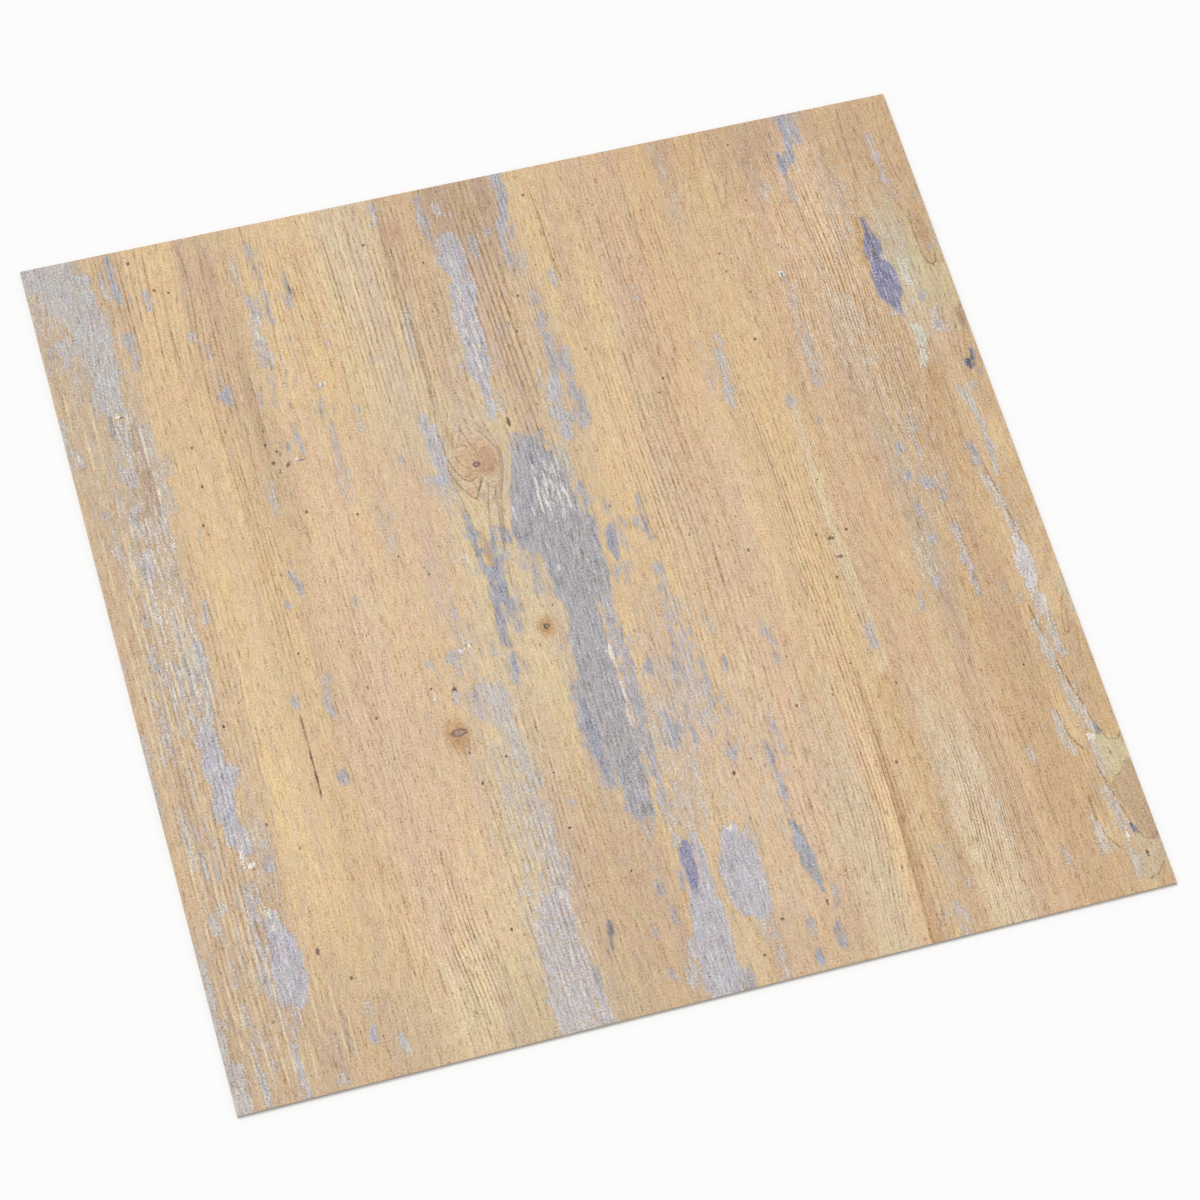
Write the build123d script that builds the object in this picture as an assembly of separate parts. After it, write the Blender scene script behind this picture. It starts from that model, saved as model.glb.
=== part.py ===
from build123d import *
import os

# A square vinyl floor plank, lying flat with its printed face up.
# It is one sheet of filled vinyl, cut to size by a die, with plain square edges that butt
# against the edges of its neighbours.
# Millimetres. +Z is up, +Y runs along the printed grain and +X across it.
# The origin is the centre of the underside, which is the face that is stuck down.

# Driving dimensions
SIDE = 305.0
THICKNESS = 1.2
LIP_RADIUS = 0.15

NODE = "vinyl_plank"
PARTS_FOLDER = "parts"


def vinyl_plank() -> Part:
    """The whole sheet: a flat slab, with the soft lip that the die leaves round its upper face."""
    slab = extrude(Rectangle(SIDE, SIDE), THICKNESS)
    upper_face = slab.faces().sort_by(Axis.Z)[-1]
    return fillet(upper_face.edges(), LIP_RADIUS)


os.makedirs(PARTS_FOLDER, exist_ok=True)
export_step(vinyl_plank(), os.path.join(PARTS_FOLDER, NODE + ".step"))
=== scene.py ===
"""A square vinyl floor plank that lies flat with its print up: weathered pine with worn paint.

Lengths in the data and in the shaders are millimetres, and Blender's own are metres. +Y runs
along the printed grain. The print's places are read from the photograph.
"""

import logging
import math
from dataclasses import dataclass, field
from enum import Enum
from statistics import NormalDist
from typing import Any, Sequence

import bmesh
import bpy
import numpy as np
from mathutils import Matrix, Vector

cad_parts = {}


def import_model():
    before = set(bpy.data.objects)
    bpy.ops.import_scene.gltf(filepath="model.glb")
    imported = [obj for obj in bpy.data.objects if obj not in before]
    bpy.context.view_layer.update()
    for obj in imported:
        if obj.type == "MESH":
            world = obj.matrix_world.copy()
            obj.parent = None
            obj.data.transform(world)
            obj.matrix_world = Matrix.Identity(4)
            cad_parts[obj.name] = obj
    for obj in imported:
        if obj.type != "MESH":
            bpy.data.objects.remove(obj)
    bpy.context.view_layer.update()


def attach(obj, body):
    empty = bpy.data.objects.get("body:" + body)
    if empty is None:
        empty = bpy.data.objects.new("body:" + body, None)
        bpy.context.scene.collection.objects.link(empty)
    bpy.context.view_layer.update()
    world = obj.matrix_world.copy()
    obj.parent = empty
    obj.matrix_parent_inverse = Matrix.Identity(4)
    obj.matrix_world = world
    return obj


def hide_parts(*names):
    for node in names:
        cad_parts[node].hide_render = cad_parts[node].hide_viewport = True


LOG = logging.getLogger("plank")
MM = 0.001
SIDE = 305.0
THICKNESS = 1.2
LIP_RADIUS = 0.15

Colour = tuple[float, float, float]
Station = tuple[float, float, float]
Row = tuple["Paint", float, tuple[Station, ...], float, bool]


def linear(red: float, green: float, blue: float) -> Colour:
    """Turns a colour seen on screen, 0 to 255, into the linear one that shaders use.

    Args:
        red: its red part.
        green: its green part.
        blue: its blue part.

    Returns:
        The same colour's linear parts, 0 to 1.
    """
    def channel(value: float) -> float:
        """One channel of it."""
        share = value / 255
        return share / 12.92 if share <= 0.04045 else ((share + 0.055) / 1.055) ** 2.4
    return channel(red), channel(green), channel(blue)


class Wood(Enum):
    """Colours of the printed pine."""
    STRAW = linear(221, 191, 149)
    HONEY = linear(216, 186, 143)
    TAN = linear(211, 181, 141)
    BLUSH = linear(214, 184, 151)
    ROSE = linear(206, 174, 140)
    SAND = linear(212, 190, 156)
    OLIVE = linear(204, 185, 144)
    REED = linear(200, 184, 152)
    CLAY = linear(199, 170, 138)
    TOAST = linear(199, 167, 130)
    RUST = linear(194, 158, 116)
    UMBER = linear(186, 158, 128)
    ASH = linear(194, 172, 144)


class Paint(Enum):
    """Colours of the worn paint that is left on it."""
    SLATE = linear(165, 162, 167)
    MIST = linear(186, 181, 180)
    LAVENDER = linear(185, 181, 187)
    DOVE = linear(172, 167, 172)
    BLUE = linear(153, 154, 167)
    VIOLET = linear(138, 136, 163)
    ICE = linear(194, 186, 178)
    MOSS = linear(204, 201, 184)
    CHALK = linear(229, 224, 213)
    TAUPE = linear(181, 159, 139)
    STEEL = linear(163, 164, 175)
    DUSK = linear(104, 104, 124)
    LEAD = linear(115, 116, 125)
    FROST = linear(206, 199, 195)
    PEARL = linear(220, 217, 214)


class Wire:
    """A number on its way through a shader, with arithmetic that adds Math nodes."""

    def __init__(self, kit: "Shader", socket: bpy.types.NodeSocket) -> None:
        self.kit = kit
        self.socket = socket

    def math(self, operation: str, *values: "Wire | float") -> "Wire":
        """Adds one Math node with that operation and those inputs, and gives its result."""
        made = self.kit.node("ShaderNodeMath", {"operation": operation}, dict(enumerate(values)))
        return Wire(self.kit, made.outputs[0])

    def __add__(self, other: "Wire | float") -> "Wire":
        """self + other."""
        return self.math("ADD", self, other)

    def __radd__(self, other: float) -> "Wire":
        """other + self."""
        return self.math("ADD", other, self)

    def __sub__(self, other: "Wire | float") -> "Wire":
        """self - other."""
        return self.math("SUBTRACT", self, other)

    def __rsub__(self, other: float) -> "Wire":
        """other - self."""
        return self.math("SUBTRACT", other, self)

    def __mul__(self, other: "Wire | float") -> "Wire":
        """self * other."""
        return self.math("MULTIPLY", self, other)

    def __abs__(self) -> "Wire":
        """The size of it, without its sign."""
        return self.math("ABSOLUTE", self)

    def largest(self, other: "Wire | float") -> "Wire":
        """The larger of the two."""
        return self.math("MAXIMUM", self, other)

    def sine(self) -> "Wire":
        """The sine of it, as an angle in radians."""
        return self.math("SINE", self)

    def step(self, low: float, high: float) -> "Wire":
        """Rises smoothly from 0 at low to 1 at high, or falls where high is the lower.

        Args:
            low: the value that gives 0.
            high: the value that gives 1.

        Returns:
            The share of the way between them.
        """
        settings = {"interpolation_type": "SMOOTHSTEP"}
        if low < high:
            inputs = {"Value": self, "From Min": low, "From Max": high}
            return Wire(self.kit, self.kit.node("ShaderNodeMapRange", settings, inputs).outputs[0])
        return 1 - self.step(high, low)


class Shader:
    """A material's node tree, with the few calls that the finishes are built from."""

    def __init__(self, owner: bpy.types.Material | bpy.types.World) -> None:
        """Empties the node tree of a material or a world.

        Args:
            owner: the material or the world.
        """
        owner.use_nodes = True
        self.owner = owner
        self.tree = owner.node_tree
        self.tree.nodes.clear()

    def node(self, kind: str, settings: dict[str, Any] | None = None,
             inputs: dict[int | str, Any] | None = None) -> bpy.types.Node:
        """Adds a node.

        Args:
            kind: the node's type.
            settings: its properties, which are set first.
            inputs: values or links of its input sockets, by name or number.

        Returns:
            The new node.
        """
        made = self.tree.nodes.new(kind)
        for key, value in (settings or {}).items():
            setattr(made, key, value)
        for key, value in (inputs or {}).items():
            if isinstance(value, Wire):
                value = value.socket
            if isinstance(value, bpy.types.NodeSocket):
                self.tree.links.new(value, made.inputs[key])
            else:
                made.inputs[key].default_value = value
        return made

    def place(self) -> tuple[Wire, Wire, Wire]:
        """Reads the place on the piece.

        Returns:
            Its x, y and z, in millimetres.
        """
        coordinates = self.node("ShaderNodeTexCoord").outputs["Object"]
        parts = self.node("ShaderNodeSeparateXYZ", None, {0: coordinates})
        x, y, z = (Wire(self, socket) * (1 / MM) for socket in parts.outputs)
        return x, y, z

    def attribute(self, name: str) -> bpy.types.Node:
        """Reads one of the mesh's own attributes."""
        return self.node("ShaderNodeAttribute", {"attribute_name": name})

    def number(self, name: str) -> Wire:
        """Reads an attribute that is a number."""
        return Wire(self, self.attribute(name).outputs["Fac"])

    def colour(self, name: str) -> bpy.types.NodeSocket:
        """Reads an attribute that is a colour."""
        return self.attribute(name).outputs["Color"]

    def noise(self, x: Wire, y: Wire, across: float, along: float, seed: float,
              detail: float = 2.0) -> Wire:
        """Smooth noise about 0.5, drawn out along the grain.

        Args:
            x: place across the grain.
            y: place along the grain.
            across: size of a blotch across the grain, in millimetres.
            along: its size along the grain.
            seed: where in the noise the layer is cut.
            detail: how many finer layers it has.

        Returns:
            The noise's value.
        """
        parts = {0: x * (1 / across), 1: y * (1 / along), 2: seed}
        vector = self.node("ShaderNodeCombineXYZ", None, parts)
        settings = {"noise_dimensions": "3D"}
        inputs = {"Vector": vector.outputs[0], "Scale": 1.0, "Detail": detail, "Roughness": 0.55}
        return Wire(self, self.node("ShaderNodeTexNoise", settings, inputs).outputs[0])

    def blend(self, share: Wire, first: Any, second: Any) -> bpy.types.NodeSocket:
        """Mixes two colours.

        Args:
            share: how much of the second colour shows.
            first: the colour below.
            second: the colour over it.

        Returns:
            The mixed colour.
        """
        def full(colour: Any) -> Any:
            """Gives a plain colour its fourth number."""
            return (*colour, 1.0) if isinstance(colour, tuple) else colour
        inputs = {0: share, 6: full(first), 7: full(second)}
        return self.node("ShaderNodeMix", {"data_type": "RGBA"}, inputs).outputs[2]

    def dim(self, colour: bpy.types.NodeSocket, share: Wire) -> bpy.types.NodeSocket:
        """Multiplies a colour by a number."""
        inputs = {0: colour, "Scale": share}
        return self.node("ShaderNodeVectorMath", {"operation": "SCALE"}, inputs).outputs[0]

    def shade(self, colour: bpy.types.NodeSocket, amount: Wire) -> bpy.types.NodeSocket:
        """Lightens or darkens a colour by much the same step in each of its parts, as seen."""
        inputs = {0: colour, 1: amount * .75 + 1, 2: amount * .28}
        return self.node("ShaderNodeVectorMath", {"operation": "MULTIPLY_ADD"}, inputs).outputs[0]

    def lean(self, colour: bpy.types.NodeSocket, green: Wire, blue: Wire) -> bpy.types.NodeSocket:
        """Raises or lowers a colour's green and blue parts by a share of each.

        Args:
            colour: the colour to change.
            green: share added to its green part.
            blue: share added to its blue part.

        Returns:
            The changed colour.
        """
        shares = self.node("ShaderNodeCombineXYZ", None, {0: 1.0, 1: green + 1, 2: blue + 1}).outputs[0]
        inputs = {0: colour, 1: shares}
        return self.node("ShaderNodeVectorMath", {"operation": "MULTIPLY"}, inputs).outputs[0]

    def finish(self, inputs: dict[str, Any]) -> bpy.types.Material:
        """Adds the surface shader and the output.

        Args:
            inputs: the surface shader's inputs, by name.

        Returns:
            The material.
        """
        surface = self.node("ShaderNodeBsdfPrincipled", None, inputs)
        self.node("ShaderNodeOutputMaterial", None, {"Surface": surface.outputs[0]})
        return self.owner


@dataclass(frozen=True)
class Remnant:
    """Paint that is left, with its left and right edge at some heights, from the top down.

    Its hold is the share of it that is left, its streak says how much the grain tears it, and
    one that is over others covers their paint.
    """
    tone: Paint
    hold: float
    stations: tuple[Station, ...]
    streak: float = 0.0
    over: bool = False

    def cover(self) -> float:
        """How well it hides the wood: better where more of it is left, and less where it is torn."""
        return min(.5 + .46 * self.hold, .95) - .12 * self.streak


@dataclass(frozen=True)
class Zone:
    """A soft region of the wood with a colour of its own."""
    tone: Wood
    x: float
    y: float
    across: float
    along: float
    weight: float = 1.0


@dataclass(frozen=True)
class Area:
    """A soft region where something is stronger."""
    x: float
    y: float
    across: float
    along: float
    weight: float = 1.0


@dataclass(frozen=True)
class Patch:
    """A region of the wood with a crisp outline: its left and right edge at some heights."""
    tone: Wood
    stations: tuple[Station, ...]
    weight: float = 1.0


@dataclass(frozen=True)
class Slant:
    """A soft region where the grain leans by so much sideways for each step up."""
    area: Area
    lean: float


@dataclass(frozen=True)
class Knot:
    """A knot that the grain flows round."""
    x: float
    y: float
    radius: float
    stretch: float


@dataclass(frozen=True)
class Halo:
    """A soft oval stain: full out to one reach from its centre and gone at another, 1 being its rim."""
    x: float
    y: float
    across: float
    along: float
    gone: float
    full: float
    share: float
    tone: Colour

    def reach(self, x: Wire, y: Wire) -> Wire:
        """Distance from its centre, 1 at its rim.

        Args:
            x: place across the grain.
            y: place along the grain.

        Returns:
            The distance.
        """
        across, along = (x - self.x) * (1 / self.across), (y - self.y) * (1 / self.along)
        squared = across * across + along * along
        return squared.math("SQRT", squared)


@dataclass(frozen=True)
class Stroke:
    """A thin dark line in the print, through these points."""
    ink: float
    points: tuple[tuple[float, float], ...]


def fleck(tone: Paint, hold: float, x: float, top: float, low: float, width: float = 1.1) -> Row:
    """A short thin remnant, pointed at both ends.

    Args:
        tone: its colour.
        hold: the share of it that is left.
        x: its middle across the grain.
        top: its upper end.
        low: its lower end.
        width: how wide it is halfway.

    Returns:
        The remnant.
    """
    middle = (top + low) / 2
    tip = width / 4
    stations = ((top, x - tip, x + tip), (middle, x - 2 * tip, x + 2 * tip), (low, x - tip, x + tip))
    return tone, hold, stations, 0.0, True


def flecks(tone: Paint, hold: float, width: float, *places: Station) -> tuple[Row, ...]:
    """Several flecks that are alike, each from its x, top and low end."""
    return tuple(fleck(tone, hold, x, top, low, width) for x, top, low in places)


STRAW, HONEY, TAN, BLUSH, ROSE, SAND, OLIVE, REED, CLAY, TOAST, RUST, UMBER, ASH = Wood
SLATE, MIST, LAVENDER, DOVE, BLUE, VIOLET, ICE, MOSS, CHALK, TAUPE, STEEL, DUSK, LEAD, FROST, PEARL = Paint

# The paint in the strip along the left edge: tone, hold, and stations of y, left and right x.
LEFT_EDGE = (
    (MIST, .93, ((152.5, -154, -136), (147, -154, -135.5), (145.6, -153, -129.8), (143, -152, -129.5),
     (141.5, -148.5, -131), (136, -147.5, -130), (130, -143, -129.5), (124, -141, -128),
     (118, -140, -129.5), (112, -139.5, -129.5), (108, -138.5, -129.3), (106, -138.5, -126.5),
     (104, -138, -130), (100, -139, -131), (95, -138, -131), (92, -137, -130))),
    (MIST, .5, ((140, -152, -141), (125, -152, -140)), 1),
    (MIST, .4, ((122, -152, -145), (112, -152, -145)), 1),
    (STEEL, .95, ((150.5, -124.5, -123), (145, -125, -122.5), (138, -124.5, -122.3),
     (132, -123.5, -122.5))),
    (MIST, .7, ((146, -127.5, -126.5), (138, -127.5, -125.5), (135, -127, -126))),
    (DOVE, .8, ((136.5, -120, -118.8), (133, -120, -119))),
    (LAVENDER, .85, ((135, -115, -113.5), (132, -114.8, -113.3), (128.5, -114, -113))),
    (DOVE, .8, ((120.5, -124.5, -122.5), (118, -125.5, -122), (113, -123.3, -121.7), (106, -123.5, -122))),
    (MIST, .85, ((123, -147.5, -142), (120, -147, -142), (117, -147, -142.5), (112, -146, -143))),
    (DOVE, .8, ((121, -149.8, -148.3), (118, -149.8, -148))),
    (MIST, .6, ((112, -144, -142.5), (104, -143.5, -142.3), (98, -143.5, -142.5))),
    (MIST, .5, ((110, -140, -139), (92, -140, -139))),
    (DOVE, .9, ((92, -137.5, -135.5), (88, -137, -135.3), (84, -137, -136))),
    (MIST, .6, ((89, -135, -128), (86, -135, -127.5), (82, -135, -131.5))),
    (MIST, .85, ((84, -134.5, -131), (80, -135, -131.5), (76, -135, -132), (73, -134, -132))),
    (MIST, .9, ((71, -137, -132), (68, -136.5, -132), (65, -135.5, -132), (63, -134, -132))),
    (TAUPE, .92, ((88, -131, -128), (80, -131.5, -127), (70, -132, -126.5), (60, -133, -126.5),
     (52, -134, -128))),
    (MIST, .6, ((86, -127, -124), (80, -127.5, -124.5), (72, -127, -123), (66, -126.5, -123),
     (60, -127, -123), (52, -129, -123)), 1),
    *flecks(CHALK, .6, 1.1, (-127.4, 84, 70), (-126.7, 68, 54)), fleck(CHALK, .6, -127.2, 54, 40, .9),
    *flecks(CHALK, .55, .9, (-129.2, 56, 34), (-133.3, 52, 26)),
    *flecks(CHALK, .5, .9, (-131.2, 46, 12), (-136.6, 30, 4)), fleck(CHALK, .55, -128.3, 32, 8, .9),
    *flecks(CHALK, .5, .9, (-134.8, 18, -12), (-138.7, 8, -18), (-131.8, 2, -22), (-130.8, -60, -74)),
    fleck(CHALK, 1, -133.5, 91.7, 90.2, 2.6),
    (MIST, .5, ((60, -134, -131), (55, -137, -128), (50, -138, -127))),
    (MIST, .5, ((74, -123, -121.5), (66, -122, -120.8))),
    (MIST, .9, ((80.5, -149.3, -148.3), (78, -150, -148.5), (75.5, -149.8, -149))),
    fleck(CHALK, .7, -149.2, 79.5, 77, .8),
    (MIST, .8, ((94, -153, -151.3), (86, -153, -151), (76, -153, -151.5))), fleck(DOVE, .9, -145, 57, 53.5),
    (MIST, .93, ((6, -130, -127), (3, -131, -125.5), (1, -134, -125), (-3, -134, -125.8), (-8, -133, -127),
     (-11, -130, -126), (-13, -130, -125.5), (-16, -131, -127), (-20, -132, -127.5), (-24, -133, -128.5),
     (-27, -134.5, -129))),
    (MIST, .5, ((52, -138, -128), (40, -140, -128), (8, -136, -127)), 1),
    (MIST, .5, ((40, -139, -131), (-28, -139, -132)), 1),
    (MIST, .85, ((57, -136.5, -134.5), (52, -136.7, -134.8), (46, -136, -134.7))),
    (MIST, .8, ((56, -129, -126.5), (50, -129, -127), (44, -128.6, -127), (39, -128.5, -127.3))),
    (MIST, .8, ((41, -141.3, -140), (37.5, -141, -139.8))),
    (MIST, .85, ((41, -138, -134), (37, -138.3, -134), (34, -139, -134.5), (31, -139, -137))),
    (MIST, .9, ((33, -132, -130.5), (30, -133, -129.3), (28, -131, -129.3))),
    fleck(MIST, .8, -130.3, 26, 21),
    (MIST, .7, ((19, -134, -131.5), (14, -135, -130), (8, -134, -129.5), (3, -134, -130))),
    (MIST, .7, ((40, -140.5, -139.5), (24, -140.3, -139.2), (14, -139.6, -138.6))),
    (MIST, .8, ((16, -142.8, -141.4), (12, -144, -142.8))),
    (DOVE, .8, ((6, -143, -142), (2, -143.3, -141), (-2, -143, -140))),
    (MIST, .6, ((-5, -142, -139), (-8, -142, -139))),
    (MIST, .5, ((50, -144.5, -143.5), (42, -144.8, -143.8), (34, -144, -142.8), (26, -144, -143))),
    (MIST, .8, ((-3, -139.3, -138), (-7, -139.4, -138))),
    (MIST, .8, ((-14, -138.5, -137.7), (-20, -138.6, -137.6))),
    (MIST, .7, ((4, -153, -151.5), (0, -153, -151.5))),
    (MIST, .7, ((-24, -153, -151.5), (-50, -153, -151.5))),
    (MIST, .8, ((18.5, -122.5, -121.5), (14, -123, -121.8), (11, -123.3, -122.3))),
    (LAVENDER, .97, ((-26, -134.5, -129), (-30, -136, -129), (-33, -134.5, -128.5), (-38, -135.5, -128.5),
     (-41, -135.5, -124.5), (-44, -135, -126), (-48, -134.5, -128), (-52, -136, -128.5),
     (-56, -135.5, -129.5), (-58, -134, -129.5), (-61, -134.5, -128), (-65, -134.5, -127),
     (-67, -133, -127), (-70, -130, -127))),
    (MIST, .5, ((-58, -127, -124), (-64, -127, -122), (-68, -128, -121.5), (-71, -126, -123)), 1),
    (DOVE, .8, ((-72.5, -125, -121.5), (-75, -126, -121.3), (-77, -126.5, -123))),
    fleck(CHALK, 1, -129, -73.4, -75, 3.2),
    (LAVENDER, .8, ((-80, -132, -130), (-85, -133.5, -130), (-88, -134.5, -130.5), (-94, -134.5, -130.5),
     (-99, -135, -132.5), (-104, -134.5, -131), (-110, -135.5, -132), (-117, -134, -132),
     (-120, -133, -131.5)), 1),
    (LAVENDER, .98, ((-90.5, -129, -125), (-94, -129.5, -125), (-97, -130, -123.5), (-100, -130.3, -121.8),
     (-105, -130.5, -121.6), (-110, -131.5, -120.7), (-115, -131, -120.6), (-119, -130.5, -121.5),
     (-121, -129.5, -122.5), (-123, -127, -124))),
    *flecks(CHALK, .9, 1.1, (-127.7, -90, -92.6), (-127.5, -95, -97)),
    (LAVENDER, .85, ((-119, -132, -129.5), (-126, -131.8, -130.2), (-130, -132, -130.5))),
    (LAVENDER, .85, ((-135, -131.5, -129.8), (-140, -131.8, -129.7), (-145, -131.5, -129.8),
     (-153, -131, -129))),
    (LAVENDER, .5, ((-123, -129, -126.5), (-131, -129, -127))),
    (MIST, .85, ((-8, -146, -144.5), (-14, -146, -144.3), (-20, -145.7, -143.7), (-28, -145.3, -143.5),
     (-35, -145.6, -143.9))),
    (MIST, .7, ((-30, -147.5, -146.3), (-35, -147.6, -146))),
    (MIST, .8, ((-50, -147, -145.8), (-56, -147, -145.7), (-62, -147, -145.5), (-66, -147.3, -145.4),
     (-71, -147, -145.8))),
    (MIST, .8, ((-66, -144, -142.7), (-70, -144, -142.5), (-74, -143.5, -142.7))),
    (MIST, .8, ((-84, -142, -140), (-87, -142.6, -139.5))),
    (MIST, .6, ((-88, -145.5, -144.4), (-94, -145.8, -144.6))),
    (MIST, .85, ((-104, -143, -141.7), (-108, -143.5, -142), (-111.5, -143.8, -142.5))),
    (MIST, .8, ((-119, -143.7, -142.5), (-124, -144, -142.2))),
    (MIST, .9, ((-131, -143.5, -142), (-136, -143.8, -142), (-142, -144, -141.5), (-148, -143.5, -141.3),
     (-153, -143.5, -142))),
    (MIST, .8, ((-121, -151, -149), (-124, -151, -148.7))),
    (MIST, .85, ((-137, -150, -147.5), (-142, -150, -148), (-150, -150, -147.5), (-153, -150, -147.5))),
    (MIST, .85, ((-95, -153, -151), (-110, -153, -151), (-124, -153, -150.5), (-153, -153, -150))),
    (MIST, .5, ((-128, -140, -139), (-134, -140, -138.5), (-141, -139.5, -138.3))),
    (MIST, .6, ((-147, -119, -116.5), (-150, -120.5, -116.5))),
    (TAUPE, .93, ((-133, -118.7, -117.6), (-140, -118.9, -116.6), (-149, -117.8, -116))),
    (TAUPE, .9, ((-138, -120.3, -119.3), (-145, -120.2, -119))),
    (TAUPE, .8, ((-128, -114.4, -113.4), (-141, -114.2, -113))),
)

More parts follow.
